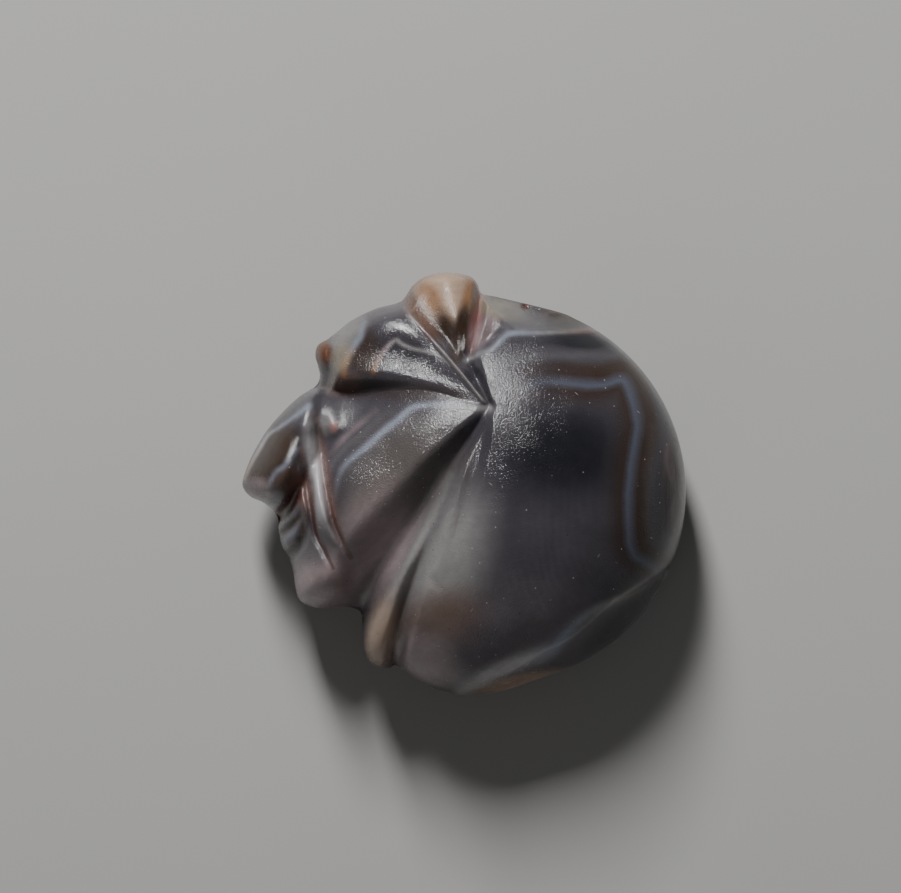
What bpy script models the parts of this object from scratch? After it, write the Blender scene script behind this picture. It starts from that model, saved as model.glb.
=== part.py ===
"""Lion head seal amulet: one piece of banded agate, cut as a lion's head in left profile.

The stone lies on its flat round seal face with the carved side up, metres, +Z up.
The nose points to -X and the ear to +Y. The origin is under the middle of the box, on the floor.

The plan is drawn in hundredths of LENGTH and the relief in shares of DOME_HEIGHT.
Every groove on the head runs out from one point behind the brow, the meeting point,
so the surface is a fan of rings about it: up over the relief, round the edge, under to the seal.
"""

import bpy
import numpy as np

# Driving sizes, in metres
LENGTH = 0.0240          # nose tip to the back of the mane
DOME_HEIGHT = 0.0074     # top of the mane above the widest section
BACK_DEPTH = 0.0040      # widest section above the seal face
SEAL_RADIUS = 0.0089     # flat round face on the underside

# Finish of the stone
STONE_COLOUR = (0.30, 0.25, 0.235, 1.0)
STONE_ROUGHNESS = 0.22
STONE_IOR = 1.54

# Grid of the solid
COLUMN_SECTORS = [(58.0, 2.4), (176.0, 1.2), (232.0, 2.2), (256.0, 5.0)]  # bearing of its start, column step
RELIEF_RINGS = 28
FOLD_RING = 15                # ring that runs along the fold between cheek and muzzle
LIP_RING = 18                 # ring that runs along the line of the lip
RING_REACH = 0.03             # from those rings to the ones beside them, as a share of the edge radius
LIP_CLEARANCE = 0.09          # least share of the edge radius between the fold's ring and the lip's
MUZZLE_SECTOR = (165.0, 245.0)
UNDER_RINGS = 6
UNDER_SWEEP = 72.0            # degrees of the quarter round left at the seal's edge
OUTLINE_STEPS = 10            # points of the smooth outline for each of its drawn points
SLOPE_STEP = 0.002            # step over which a path's slope is taken, as a share of its length
SHARP_ANGLE = 50.0            # degrees between faces from which an edge is drawn sharp
TINY = 1e-6                   # keeps a division off zero

# Plan, in hundredths of LENGTH
UNIT = LENGTH / 100
MEETING_POINT = (5.4, 17.2)
MANE_CENTRE = (7.0, -1.8)
MANE_RADIUS = 43.2
MANE_ARC = (-73.0, 77.0, 6.0)  # bearings about the mane's centre: start, end and step

MANE_TOP_EDGE = [(8.1, 42.2), (5.2, 42.8)]
EAR_EDGE = [(3.7, 43.4), (3.1, 45.2), (1.6, 46.8), (-1.4, 47.6), (-5.4, 47.7), (-9.0, 46.8),
            (-11.5, 45.0), (-13.3, 42.3), (-14.9, 41.0)]
FOREHEAD_EDGE = [(-20.1, 39.6), (-25.3, 37.1), (-28.5, 34.6), (-30.8, 32.8)]
BROW_KNOB_EDGE = [(-33.0, 31.4), (-33.6, 29.2), (-33.0, 26.7), (-32.6, 24.4), (-33.5, 22.2)]
NOSE_EDGE = [(-37.1, 19.9), (-41.0, 16.3), (-44.8, 11.8), (-48.0, 6.3), (-49.9, 1.4), (-49.9, -0.9),
             (-48.2, -2.9)]
MOUTH_EDGE = [(-45.5, -4.1), (-43.4, -5.7), (-42.1, -7.7), (-41.9, -10.4), (-41.2, -13.8),
              (-39.6, -16.5)]
JAW_EDGE = [(-38.6, -19.9), (-38.0, -23.8), (-37.1, -26.2), (-34.8, -27.6), (-31.4, -28.2), (-27.6, -27.9),
            (-24.9, -28.1), (-23.2, -29.4)]
COLLAR_EDGE = [(-22.9, -33.5), (-22.4, -37.6), (-21.3, -40.3), (-19.0, -41.5), (-16.7, -41.6),
               (-15.4, -41.0)]
MANE_LOW_EDGE = [(-12.7, -42.8), (-9.0, -45.2), (-5.0, -46.8), (-0.5, -47.7), (4.8, -47.5), (10.0, -46.4),
                 (14.9, -44.7)]

# Lines that run down the muzzle
FOLD_LINE = [(-33.7, 15.8), (-32.8, 12.7), (-31.9, 7.0), (-30.8, -0.7), (-29.4, -7.5), (-27.4, -12.7),
             (-25.6, -16.7)]
LIP_LINE = [(-36.7, 7.7), (-35.3, 0.9), (-34.4, -4.8), (-33.3, -11.1), (-31.4, -14.9), (-29.6, -19.0)]

# Lobes that the head is blocked out from: centre, half sizes, height, turn in degrees, and the blend
MANE_LOBE = (MANE_CENTRE, (45.2, 45.2), 1.0, 0.0)
LOBES = [
    ((-2.7, -17.2), (28.3, 35.7), 0.84, 0.0, 0.05),      # lower mane
    ((-17.9, -35.3), (10.9, 12.4), 0.49, 0.0, 0.04),     # end of the collar
    ((-7.7, 12.2), (32.8, 38.9), 0.74, 0.0, 0.05),       # forehead
    ((-4.1, 40.3), (10.0, 10.4), 0.47, 0.0, 0.04),       # ear
    ((-17.9, -0.7), (27.1, 19.9), 0.85, -138.0, 0.07),   # cheek
    ((-30.8, -16.3), (14.9, 17.2), 0.62, 0.0, 0.07),     # jaw
    ((-37.6, 7.2), (22.6, 13.6), 0.57, -123.0, 0.04),    # muzzle
]
LOBE_SKIRT = 0.08        # fall of a lobe beyond its own edge
SKIRT_END = 4            # squared distance past the edge, in half sizes, where the fall stops
EDGE_HEIGHT = 1.22       # height of the rounded wall that closes the relief at the outline
EDGE_BLEND = 0.07

# Flats where the mane was struck away: bearing about the meeting point, radius of the flat's inner edge
TOP_FLAT = [(34.7, 30.5), (42.0, 25.8), (49.8, 22.8), (60.0, 20.1), (70.7, 18.5), (82.3, 20.3), (93.0, 24.0),
            (95.0, 24.9)]
LOW_BREAK = [(263.0, 65.4), (268.0, 63.3), (275.0, 59.3), (282.0, 56.1), (288.0, 55.0), (293.0, 53.6),
             (299.0, 51.8), (306.0, 51.4), (312.0, 52.3), (318.0, 53.6), (320.0, 54.3)]
TOP_FLAT_HOLLOW = 1.0    # 1 is a straight run down to the edge, more is hollow
LOW_BREAK_HOLLOW = 1.2


def smooth_min(a, b, blend):
    """Return the lower of two heights with the corner between them rounded."""
    share = np.clip(0.5 + 0.5 * (b - a) / blend, 0, 1)
    return b * (1 - share) + a * share - blend * share * (1 - share)


def smooth_max(a, b, blend):
    """Return the higher of two heights with the corner between them rounded."""
    return -smooth_min(-a, -b, blend)


def curve_through(points, steps):
    """Return a closed smooth curve (Catmull-Rom) through the points."""
    p1 = np.array(points, float)
    p0, p2, p3 = np.roll(p1, 1, 0), np.roll(p1, -1, 0), np.roll(p1, -2, 0)
    t = np.linspace(0, 1, steps, endpoint=False)[:, None]
    pieces = [
        0.5 * (2 * b + (c - a) * t + (2 * a - 5 * b + 4 * c - d) * t**2 + (3 * b - a - 3 * c + d) * t**3)
        for a, b, c, d in zip(p0, p1, p2, p3)
    ]
    return np.vstack(pieces)


def mane_arc():
    """Return the points of the mane's round back, counter-clockwise."""
    turn = np.radians(np.arange(*MANE_ARC))
    arc = np.column_stack([np.cos(turn), np.sin(turn)]) * MANE_RADIUS + MANE_CENTRE
    return [tuple(point) for point in arc]


def outline():
    """Return the smooth outline of the head as an array of plan points."""
    drawn = (MANE_TOP_EDGE + EAR_EDGE + FOREHEAD_EDGE + BROW_KNOB_EDGE + NOSE_EDGE + MOUTH_EDGE + JAW_EDGE
             + COLLAR_EDGE + MANE_LOW_EDGE + mane_arc())
    return curve_through(drawn, OUTLINE_STEPS)


def outline_by_bearing():
    """Return the outline's bearings about the meeting point, rising, and its radii there."""
    offset = outline() - np.array(MEETING_POINT)
    bearing = np.degrees(np.arctan2(offset[:, 1], offset[:, 0])) % 360
    order = np.argsort(bearing)
    return bearing[order], np.hypot(offset[:, 0], offset[:, 1])[order]


OUTLINE_BEARING, OUTLINE_RADIUS = outline_by_bearing()


def edge_radius(bearing):
    """Return the distance from the meeting point to the outline at a bearing in degrees."""
    return np.interp(bearing % 360, OUTLINE_BEARING, OUTLINE_RADIUS, period=360)


def hermite(at, nodes, values, flat_ends=False):
    """Return a smooth curve through values at the nodes; with flat_ends it levels at ends and turns."""
    nodes, values = np.asarray(nodes, float), np.asarray(values, float)
    gap = np.diff(nodes)
    grade = np.diff(values) / gap
    first, last = (0, 0) if flat_ends else (grade[0], grade[-1])
    slope = np.concatenate([[first], (grade[:-1] + grade[1:]) / 2, [last]])
    if flat_ends:
        turns = np.concatenate([[False], grade[:-1] * grade[1:] <= 0, [False]])
        slope = np.where(turns, 0, slope)
    i = np.clip(np.searchsorted(nodes, at, side="right") - 1, 0, len(gap) - 1)
    t = np.clip((at - nodes[i]) / gap[i], 0, 1)
    return ((2 * t**3 - 3 * t**2 + 1) * values[i] + (t**3 - 2 * t**2 + t) * gap[i] * slope[i]
            + (3 * t**2 - 2 * t**3) * values[i + 1] + (t**3 - t**2) * gap[i] * slope[i + 1])


def along(x, y, path):
    """Return distance to a gently curved path, share of its length, and side (+1 right of travel)."""
    p = np.array(path, float)
    chord = p[-1] - p[0]
    length = np.hypot(*chord)
    ex, ey = chord / length
    forward, right = (x - p[0, 0]) * ex + (y - p[0, 1]) * ey, (x - p[0, 0]) * ey - (y - p[0, 1]) * ex
    path_forward, path_right = (p - p[0]) @ np.array([ex, ey]), (p - p[0]) @ np.array([ey, -ex])
    inside = np.clip(forward, 0, length)
    step = length * SLOPE_STEP
    ahead, behind = np.clip(inside + step, 0, length), np.clip(inside - step, 0, length)
    rise = hermite(ahead, path_forward, path_right) - hermite(behind, path_forward, path_right)
    slope = rise / (2 * step)
    across = (right - hermite(inside, path_forward, path_right)) / np.sqrt(1 + slope**2)
    distance = np.hypot(across, forward - inside)
    return distance, inside / length, across / np.maximum(distance, TINY)


def spread(share, values):
    """Return values spaced evenly along a path, blended smoothly at each share of its length."""
    return hermite(share, np.linspace(0, 1, len(values)), values, flat_ends=True)


def cut(z, x, y, path, depth, left, right, bottom, shoulder):
    """Lower z by a wheel-cut groove: V section, bottom and shoulders rounded by shares of its width."""
    distance, share, side = along(x, y, path)
    width = spread(share, left) * (0.5 - 0.5 * side) + spread(share, right) * (0.5 + 0.5 * side)
    out = distance / width
    section = (np.sqrt(out**2 + bottom**2) - bottom) / (np.sqrt(1 + bottom**2) - bottom)
    return z - spread(share, depth) * smooth_max(1 - section, 0 * z, shoulder)


def roll(z, x, y, path, height, width):
    """Raise z by a rounded ridge of the given heights and half widths along the path."""
    distance, share, _ = along(x, y, path)
    return z + spread(share, height) * np.exp(-((distance / spread(share, width)) ** 2))


def lobe(x, y, centre, half, height, turn):
    """Return an ellipsoid's cap, falling slowly beyond its edge."""
    angle = np.radians(turn)
    dx, dy = x - centre[0], y - centre[1]
    u = (dx * np.cos(angle) + dy * np.sin(angle)) / half[0]
    v = (dy * np.cos(angle) - dx * np.sin(angle)) / half[1]
    q = u * u + v * v
    return height * np.sqrt(np.clip(1 - q, 0, None)) - LOBE_SKIRT * np.clip(q - 1, 0, SKIRT_END)


def blocked_out(x, y, bearing, radius):
    """Return the head before carving: its lobes under the rounded wall at the outline."""
    z = lobe(x, y, *MANE_LOBE)
    for centre, half, height, turn, blend in LOBES:
        z = smooth_max(z, lobe(x, y, centre, half, height, turn), blend)
    share = np.clip(radius / edge_radius(bearing), 0, 1)
    return smooth_min(z, EDGE_HEIGHT * np.sqrt(1 - share**2), EDGE_BLEND)


def struck_flat(z, x, y, bearing, radius, inner_edge, hollow):
    """Lower z to a flat that runs from an inner edge on the mane down to the outline."""
    nodes = np.array(inner_edge)
    within = (bearing >= nodes[0, 0]) & (bearing <= nodes[-1, 0])
    inner = hermite(bearing, nodes[:, 0], nodes[:, 1])
    turn = np.radians(bearing)
    inner_x, inner_y = MEETING_POINT[0] + inner * np.cos(turn), MEETING_POINT[1] + inner * np.sin(turn)
    start = blocked_out(inner_x, inner_y, bearing, inner)
    outer = edge_radius(bearing)
    run = np.clip((radius - inner) / np.maximum(outer - inner, TINY), 0, 1)
    struck = np.minimum(z, start * (1 - run) ** hollow)
    return np.where(within & (radius > inner) & (inner < outer), struck, z)


def carve_collar(z, x, y):
    """Cut the groove behind the jaw, the groove along the collar and the step at the mane."""
    z = cut(z, x, y,
            path=[(5.2, 17.0), (1.4, 11.3), (-2.9, 5.2), (-10.0, -6.1), (-16.1, -15.2), (-21.0, -22.9),
                  (-25.3, -31.2)],
            depth=[0.01, 0.11, 0.20, 0.26, 0.26, 0.23, 0.19],
            left=[1.4, 2.0, 2.9, 3.6, 4.1, 4.1, 4.1],
            right=[1.8, 3.2, 5.4, 7.2, 8.1, 8.1, 6.8], bottom=0.25, shoulder=0.4)
    z = cut(z, x, y,
            path=[(3.6, 13.3), (-1.4, 4.1), (-4.3, -3.6), (-7.7, -11.5), (-10.6, -19.5), (-12.9, -26.9),
                  (-14.9, -33.9), (-16.1, -43.0)],
            depth=[0.01, 0.05, 0.06, 0.07, 0.08, 0.11, 0.15, 0.22],
            left=[1.4, 1.8, 2.3, 2.9, 3.6, 3.6, 3.2, 2.7],
            right=[1.6, 2.0, 2.5, 2.7, 2.7, 2.7, 2.7, 2.3], bottom=0.15, shoulder=0.3)
    return cut(z, x, y,
               path=[(5.4, 17.2), (3.8, 10.6), (1.4, 2.0), (-0.7, -6.6), (-2.7, -14.9)],
               depth=[0.02, 0.06, 0.06, 0.03, 0.0],
               left=[1.4, 2.0, 2.3, 2.3, 1.8],
               right=[1.8, 2.7, 3.4, 2.9, 1.4], bottom=0.3, shoulder=0.4)


def carve_brow(z, x, y):
    """Cut the hollow under the brow, and model the brow's roll and the crest of the forehead."""
    z = cut(z, x, y,
            path=[(-34.4, 22.2), (-26.9, 20.6), (-19.0, 21.0), (-7.7, 20.8), (-0.5, 18.8), (5.0, 17.2)],
            depth=[0.12, 0.16, 0.13, 0.09, 0.04, 0.01],
            left=[2.4, 2.9, 3.1, 2.9, 2.0, 1.4],
            right=[2.7, 6.8, 9.5, 8.1, 5.0, 1.8], bottom=0.12, shoulder=0.5)
    z = roll(z, x, y,
             path=[(-23.1, 33.9), (-15.4, 35.6), (-10.0, 34.4)],
             height=[0.01, 0.04, 0.02], width=[3.2, 4.0, 3.2])
    z = cut(z, x, y,
            path=[(-23.5, 28.6), (-15.6, 27.7), (-8.2, 25.2), (-1.4, 21.5), (5.0, 17.6)],
            depth=[0.0, 0.01, 0.03, 0.02, 0.01],
            left=[4.0, 4.6, 4.0, 2.7, 1.4],
            right=[3.0, 3.2, 3.0, 2.3, 1.4], bottom=0.5, shoulder=0.4)
    z = roll(z, x, y,
             path=[(-28.1, 23.2), (-20.1, 23.0), (-13.3, 22.4), (-7.2, 20.9), (-2.7, 18.8)],
             height=[0.0, 0.008, 0.024, 0.012, 0.0], width=[4.0, 5.0, 5.0, 4.0, 2.4])
    return cut(z, x, y,
               path=[(-28.7, 34.2), (-29.9, 29.9), (-30.1, 25.3), (-31.2, 21.7)],
               depth=[0.02, 0.06, 0.09, 0.12],
               left=[1.6, 1.8, 1.8, 1.8],
               right=[1.8, 2.3, 2.3, 2.3], bottom=0.3, shoulder=0.3)


def carve_ear(z, x, y):
    """Cut the hollows on both sides of the ear, its rib and flutes, and the petal behind it."""
    z = cut(z, x, y,
            path=[(-10.4, 43.4), (-5.9, 36.0), (0.5, 27.6), (5.4, 17.9)],
            depth=[0.04, 0.09, 0.07, 0.01],
            left=[5.0, 4.0, 2.4, 1.1],
            right=[3.4, 3.2, 2.2, 0.9], bottom=0.35, shoulder=0.5)
    z = roll(z, x, y,
             path=[(-13.6, 39.8), (-4.3, 29.2), (5.4, 17.6)],
             height=[0.01, 0.04, 0.03], width=[0.6, 0.6, 0.6])
    z = roll(z, x, y,
             path=[(-3.2, 45.7), (-2.5, 39.4), (-0.9, 29.9)],
             height=[0.09, 0.09, 0.03], width=[5.0, 4.4, 2.2])
    z = cut(z, x, y,
            path=[(3.9, 44.3), (3.3, 37.6), (2.0, 29.4)],
            depth=[0.16, 0.14, 0.06],
            left=[2.6, 2.6, 1.8],
            right=[2.2, 2.2, 1.6], bottom=0.3, shoulder=0.2)
    for flute in ([(-5.4, 40.3), (-4.1, 34.8), (-2.0, 29.2)], [(0.5, 40.3), (0.2, 34.8), (-0.5, 29.2)]):
        z = cut(z, x, y, path=flute, depth=[0.0, 0.012, 0.008], left=[2.0, 1.9, 0.9], right=[2.0, 1.8, 0.9],
                bottom=0.6, shoulder=0.4)
    z = cut(z, x, y,
            path=[(0.9, 28.7), (5.0, 32.1), (8.8, 36.2)],
            depth=[0.01, 0.11, 0.04],
            left=[2.0, 3.2, 3.2],
            right=[1.4, 2.0, 2.0], bottom=0.35, shoulder=0.15)
    return cut(z, x, y,
               path=[(0.5, 28.1), (2.9, 23.3), (5.6, 17.6)],
               depth=[0.02, 0.09, 0.02],
               left=[2.0, 1.7, 1.0],
               right=[2.0, 1.8, 0.9], bottom=0.25, shoulder=0.2)


def carve_nose(z, x, y):
    """Model the ridge of the nose, the wing of the nostril and the folds under the eye."""
    z = roll(z, x, y,
             path=[(-34.2, 19.0), (-35.8, 12.4), (-39.3, 4.6), (-44.2, -2.6)],
             height=[0.03, 0.05, 0.11, 0.04], width=[2.0, 2.8, 3.8, 2.8])
    z = roll(z, x, y, path=[(-34.4, 16.2), (-35.4, 13.4)], height=[0.04, 0.04], width=[2.2, 2.2])
    z = roll(z, x, y, path=[(-37.6, 3.2), (-40.3, -1.4)], height=[0.02, 0.02], width=[2.9, 2.9])
    return roll(z, x, y, path=[(-30.0, 17.0), (-29.8, 13.3)], height=[0.03, 0.04], width=[2.0, 2.0])


def carve_mouth(z, x, y):
    """Cut the open mouth above and below the tongue, and the two lines that run down the muzzle."""
    z = cut(z, x, y,
            path=[(-44.8, -9.3), (-41.6, -7.5), (-39.1, -4.5), (-37.1, -0.5)],
            depth=[0.20, 0.16, 0.10, 0.0],
            left=[2.2, 2.2, 2.0, 1.5],
            right=[2.0, 2.0, 1.8, 1.5], bottom=0.3, shoulder=0.25)
    z = cut(z, x, y,
            path=[(-43.9, -13.3), (-40.7, -11.3), (-37.8, -8.8), (-36.2, -6.3)],
            depth=[0.06, 0.05, 0.04, 0.0],
            left=[1.6, 1.6, 1.5, 1.4],
            right=[1.6, 1.6, 1.5, 1.4], bottom=0.3, shoulder=0.3)
    z = cut(z, x, y,
            path=[(-42.5, -17.4), (-39.4, -16.3), (-36.7, -13.8), (-35.7, -10.0), (-36.2, -5.4)],
            depth=[0.05, 0.05, 0.04, 0.03, 0.0],
            left=[1.8, 1.8, 1.8, 1.8, 1.6],
            right=[1.6, 1.6, 1.6, 1.6, 1.6], bottom=0.3, shoulder=0.3)
    z = roll(z, x, y, path=[(-41.0, -14.5), (-38.5, -12.0)], height=[0.02, 0.02], width=[1.8, 1.8])
    z = cut(z, x, y,
            path=FOLD_LINE,
            depth=[0.0, 0.07, 0.09, 0.09, 0.08, 0.06, 0.0],
            left=[0.9, 1.1, 1.1, 1.1, 0.9, 0.8, 0.5],
            right=[1.4, 2.0, 2.3, 2.0, 1.4, 0.9, 0.5], bottom=0.1, shoulder=0.15)
    z = roll(z, x, y,
             path=[(-33.7, 13.3), (-32.8, 7.0), (-31.9, -0.7), (-30.5, -7.5), (-28.5, -12.7)],
             height=[0.01, 0.04, 0.04, 0.03, 0.01], width=[1.1, 1.1, 1.1, 1.0, 0.9])
    return cut(z, x, y,
               path=LIP_LINE,
               depth=[0.0, 0.05, 0.08, 0.07, 0.05, 0.0],
               left=[1.4, 1.8, 1.6, 1.1, 0.7, 0.5],
               right=[0.9, 1.1, 1.1, 0.9, 0.7, 0.5], bottom=0.15, shoulder=0.15)


def relief(x, y):
    """Return the carved side's height over the widest section, as a share of DOME_HEIGHT."""
    dx, dy = x - MEETING_POINT[0], y - MEETING_POINT[1]
    bearing, radius = np.degrees(np.arctan2(dy, dx)) % 360, np.hypot(dx, dy)
    z = blocked_out(x, y, bearing, radius)
    for carve in (carve_collar, carve_brow, carve_ear, carve_nose, carve_mouth):
        z = carve(z, x, y)
    z = struck_flat(z, x, y, bearing, radius, TOP_FLAT, TOP_FLAT_HOLLOW)
    z = struck_flat(z, x, y, bearing, radius, LOW_BREAK, LOW_BREAK_HOLLOW)
    return np.maximum(z, 0)


def column_bearings():
    """Return the bearings of the grid's columns, closer together on the face and closest on the muzzle."""
    starts = [start for start, _ in COLUMN_SECTORS]
    ends = starts[1:] + [starts[0] + 360]
    sectors = [
        np.linspace(start, end, round((end - start) / step), endpoint=False)
        for (start, step), end in zip(COLUMN_SECTORS, ends)
    ]
    return np.concatenate(sectors)


def line_share(bearing, line, plain):
    """Return the share of the edge radius that follows a muzzle line, and a plain share away from it."""
    dx, dy = np.array(line).T - np.array(MEETING_POINT)[:, None]
    on_line = np.degrees(np.arctan2(dy, dx)) % 360
    share = np.hypot(dx, dy) / edge_radius(on_line)
    start, end = MUZZLE_SECTOR
    nodes = np.concatenate([[start], on_line, [end]])
    values = np.concatenate([[plain], share, [plain]])
    return hermite(np.clip(bearing, start, end), nodes, values, flat_ends=True)


def ring_shares(bearing):
    """Return each ring's share of the edge radius at the bearings, a sine save where rings follow lines."""
    plain = np.sin(np.pi / 2 * np.arange(RELIEF_RINGS + 1) / RELIEF_RINGS)
    fold = line_share(bearing, FOLD_LINE, plain[FOLD_RING])
    lip = np.maximum(line_share(bearing, LIP_LINE, plain[LIP_RING]), fold + LIP_CLEARANCE)
    guides = {0: 0 * fold,
              FOLD_RING - 1: fold - RING_REACH, FOLD_RING: fold, FOLD_RING + 1: fold + RING_REACH,
              LIP_RING - 1: lip - RING_REACH, LIP_RING: lip, LIP_RING + 1: lip + RING_REACH,
              RELIEF_RINGS: 1 + 0 * fold}
    rings = list(guides)
    shares = []
    for first, last in zip(rings[:-1], rings[1:]):
        for k in range(first, last):
            blend = (plain[k] - plain[first]) / (plain[last] - plain[first])
            shares.append(guides[first] * (1 - blend) + guides[last] * blend)
    return shares + [guides[RELIEF_RINGS]]


def relief_rings(bearing):
    """Return rings of points from beside the meeting point out to the edge, rising over the relief."""
    turn = np.radians(bearing)
    shares = ring_shares(bearing)
    rings = []
    for k in range(1, RELIEF_RINGS + 1):
        radius = edge_radius(bearing) * shares[k]
        x, y = MEETING_POINT[0] + radius * np.cos(turn), MEETING_POINT[1] + radius * np.sin(turn)
        height = relief(x, y) if k < RELIEF_RINGS else 0 * x
        rings.append(np.column_stack([x * UNIT, y * UNIT, BACK_DEPTH + height * DOME_HEIGHT]))
    return rings


def under_rings(edge):
    """Return rings from the edge round and down to the rim of the seal face, part of a quarter ellipse."""
    centre = np.array(MANE_CENTRE) * UNIT
    inward = centre - edge[:, :2]
    rim = centre - inward / np.hypot(inward[:, 0], inward[:, 1])[:, None] * SEAL_RADIUS
    sweep = np.radians(UNDER_SWEEP)
    rings = []
    for k in range(1, UNDER_RINGS + 1):
        turn = sweep * k / UNDER_RINGS
        share = (1 - np.cos(turn)) / (1 - np.cos(sweep))
        plan = edge[:, :2] + (rim - edge[:, :2]) * share
        height = BACK_DEPTH * (1 - np.sin(turn) / np.sin(sweep))
        rings.append(np.column_stack([plan, np.full(len(plan), height)]))
    return rings


def diagonal_out(inner, outer, height):
    """Return where the diagonal from the inner ring to the outer ring's next point fits the height better."""
    outward = (inner[:, 2] + np.roll(outer[:, 2], -1)) / 2
    inward = (outer[:, 2] + np.roll(inner[:, 2], -1)) / 2
    return np.abs(outward - height) <= np.abs(inward - height)


def middle_height(inner, outer):
    """Return the relief's height at the middle of each four-sided cell between two rings."""
    cell = (inner + outer + np.roll(inner, -1, 0) + np.roll(outer, -1, 0)) / 4
    return BACK_DEPTH + relief(cell[:, 0] / UNIT, cell[:, 1] / UNIT) * DOME_HEIGHT


def bridged(first, second, outward):
    """Return the triangles between two rings, given each ring's first index and the cells' diagonals."""
    faces = []
    count = len(outward)
    for i in range(count):
        j = (i + 1) % count
        if outward[i]:
            faces += [(first + i, second + i, second + j), (first + i, second + j, first + j)]
        else:
            faces += [(first + i, second + i, first + j), (second + i, second + j, first + j)]
    return faces


def head_mesh(name):
    """Return the head as one closed mesh: fan at the meeting point, rings, and the flat seal face."""
    bearing = column_bearings()
    count = len(bearing)
    top = relief(np.array([MEETING_POINT[0]]), np.array([MEETING_POINT[1]]))[0]
    apex = [[MEETING_POINT[0] * UNIT, MEETING_POINT[1] * UNIT, BACK_DEPTH + top * DOME_HEIGHT]]
    rings = relief_rings(bearing)
    edge = rings[-1]
    rings += under_rings(edge)
    points = np.vstack([apex] + rings)
    points[:, :2] -= (edge[:, :2].min(axis=0) + edge[:, :2].max(axis=0)) / 2
    faces = [(0, 1 + i, 1 + (i + 1) % count) for i in range(count)]
    for k in range(len(rings) - 1):
        outward = np.full(count, True)
        if k < RELIEF_RINGS - 1:
            outward = diagonal_out(rings[k], rings[k + 1], middle_height(rings[k], rings[k + 1]))
        faces += bridged(1 + k * count, 1 + (k + 1) * count, outward)
    seal_rim = 1 + (len(rings) - 1) * count
    faces.append(tuple(range(seal_rim + count - 1, seal_rim - 1, -1)))
    mesh = bpy.data.meshes.new(name)
    mesh.from_pydata(points.tolist(), [], faces)
    mesh.validate()
    mesh.shade_smooth()
    mesh.set_sharp_from_angle(angle=np.radians(SHARP_ANGLE))
    return mesh


def agate():
    """Return the stone: dark grey-brown banded agate with a worn polish."""
    material = bpy.data.materials.new("banded agate")
    material.use_nodes = True
    shader = material.node_tree.nodes["Principled BSDF"]
    shader.inputs["Base Color"].default_value = STONE_COLOUR
    shader.inputs["Roughness"].default_value = STONE_ROUGHNESS
    shader.inputs["Metallic"].default_value = 0.0
    shader.inputs["IOR"].default_value = STONE_IOR
    return material


def build():
    """Clear the scene and add the amulet, lying on its seal face."""
    for old in list(bpy.data.objects):
        bpy.data.objects.remove(old, do_unlink=True)
    head = bpy.data.objects.new("lion_head_seal", head_mesh("lion_head_seal"))
    head.data.materials.append(agate())
    bpy.context.scene.collection.objects.link(head)


build()
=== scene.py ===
"""Lion head seal amulet of dark banded agate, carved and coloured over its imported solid.

The plan is drawn in hundredths of the head's length, with the nose towards -X and the ear towards +Y,
and the relief in shares of the dome's height over the widest section. Both take their real size from
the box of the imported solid. Every groove runs out from one meeting point behind the brow.
"""

import logging
from dataclasses import dataclass
from enum import Enum
from typing import Any, Sequence

import bpy
import numpy as np
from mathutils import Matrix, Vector


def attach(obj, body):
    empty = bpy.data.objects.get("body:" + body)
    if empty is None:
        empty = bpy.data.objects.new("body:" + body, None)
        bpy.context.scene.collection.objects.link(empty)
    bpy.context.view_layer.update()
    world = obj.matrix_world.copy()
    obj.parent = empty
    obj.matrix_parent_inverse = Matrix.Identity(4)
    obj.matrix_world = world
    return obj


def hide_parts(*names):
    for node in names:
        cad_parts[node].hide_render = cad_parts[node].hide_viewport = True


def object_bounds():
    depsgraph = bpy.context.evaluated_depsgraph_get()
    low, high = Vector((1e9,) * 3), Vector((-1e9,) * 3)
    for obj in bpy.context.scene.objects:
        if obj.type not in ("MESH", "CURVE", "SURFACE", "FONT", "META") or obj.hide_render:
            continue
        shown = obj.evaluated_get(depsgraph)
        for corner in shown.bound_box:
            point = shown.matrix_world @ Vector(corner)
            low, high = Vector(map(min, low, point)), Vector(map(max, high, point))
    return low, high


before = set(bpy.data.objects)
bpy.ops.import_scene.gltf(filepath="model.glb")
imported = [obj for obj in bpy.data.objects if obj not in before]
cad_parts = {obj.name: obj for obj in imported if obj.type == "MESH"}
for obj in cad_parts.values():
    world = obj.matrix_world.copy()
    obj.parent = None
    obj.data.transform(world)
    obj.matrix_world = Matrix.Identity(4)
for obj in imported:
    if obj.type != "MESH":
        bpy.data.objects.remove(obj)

LOG = logging.getLogger("lion_head_seal")
CAD_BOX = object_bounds()
# Least length in hundredths that a distance is divided by.
TINY = 1e-6

Array = np.ndarray
Pair = tuple[float, float]
Path = Sequence[Pair]
Colour = tuple[float, float, float]
Values = Sequence[float]


def smooth_min(a: Array, b: Array, blend: float) -> Array:
    """The lower of two heights with the corner rounded: their minimum less a parabola of width blend.

    Args:
        a: first heights.
        b: second heights.
        blend: height difference over which the corner is rounded.

    Returns:
        The blended heights.
    """
    share = np.clip(0.5 + 0.5 * (b - a) / blend, 0, 1)
    return b * (1 - share) + a * share - blend * share * (1 - share)


def smooth_max(a: Array, b: Array, blend: float) -> Array:
    """The higher of two heights with the corner rounded, as smooth_min turned over.

    Args:
        a: first heights.
        b: second heights.
        blend: height difference over which the corner is rounded.

    Returns:
        The blended heights.
    """
    return -smooth_min(-a, -b, blend)


def smooth_step(value: Array, low: float, high: float) -> Array:
    """Rise from 0 at low to 1 at high along 3t^2 - 2t^3.

    Args:
        value: where it is taken.
        low: value at which the rise starts.
        high: value at which it ends.

    Returns:
        Shares from 0 to 1.
    """
    t = np.clip((value - low) / (high - low), 0, 1)
    return t * t * (3 - 2 * t)


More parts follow.
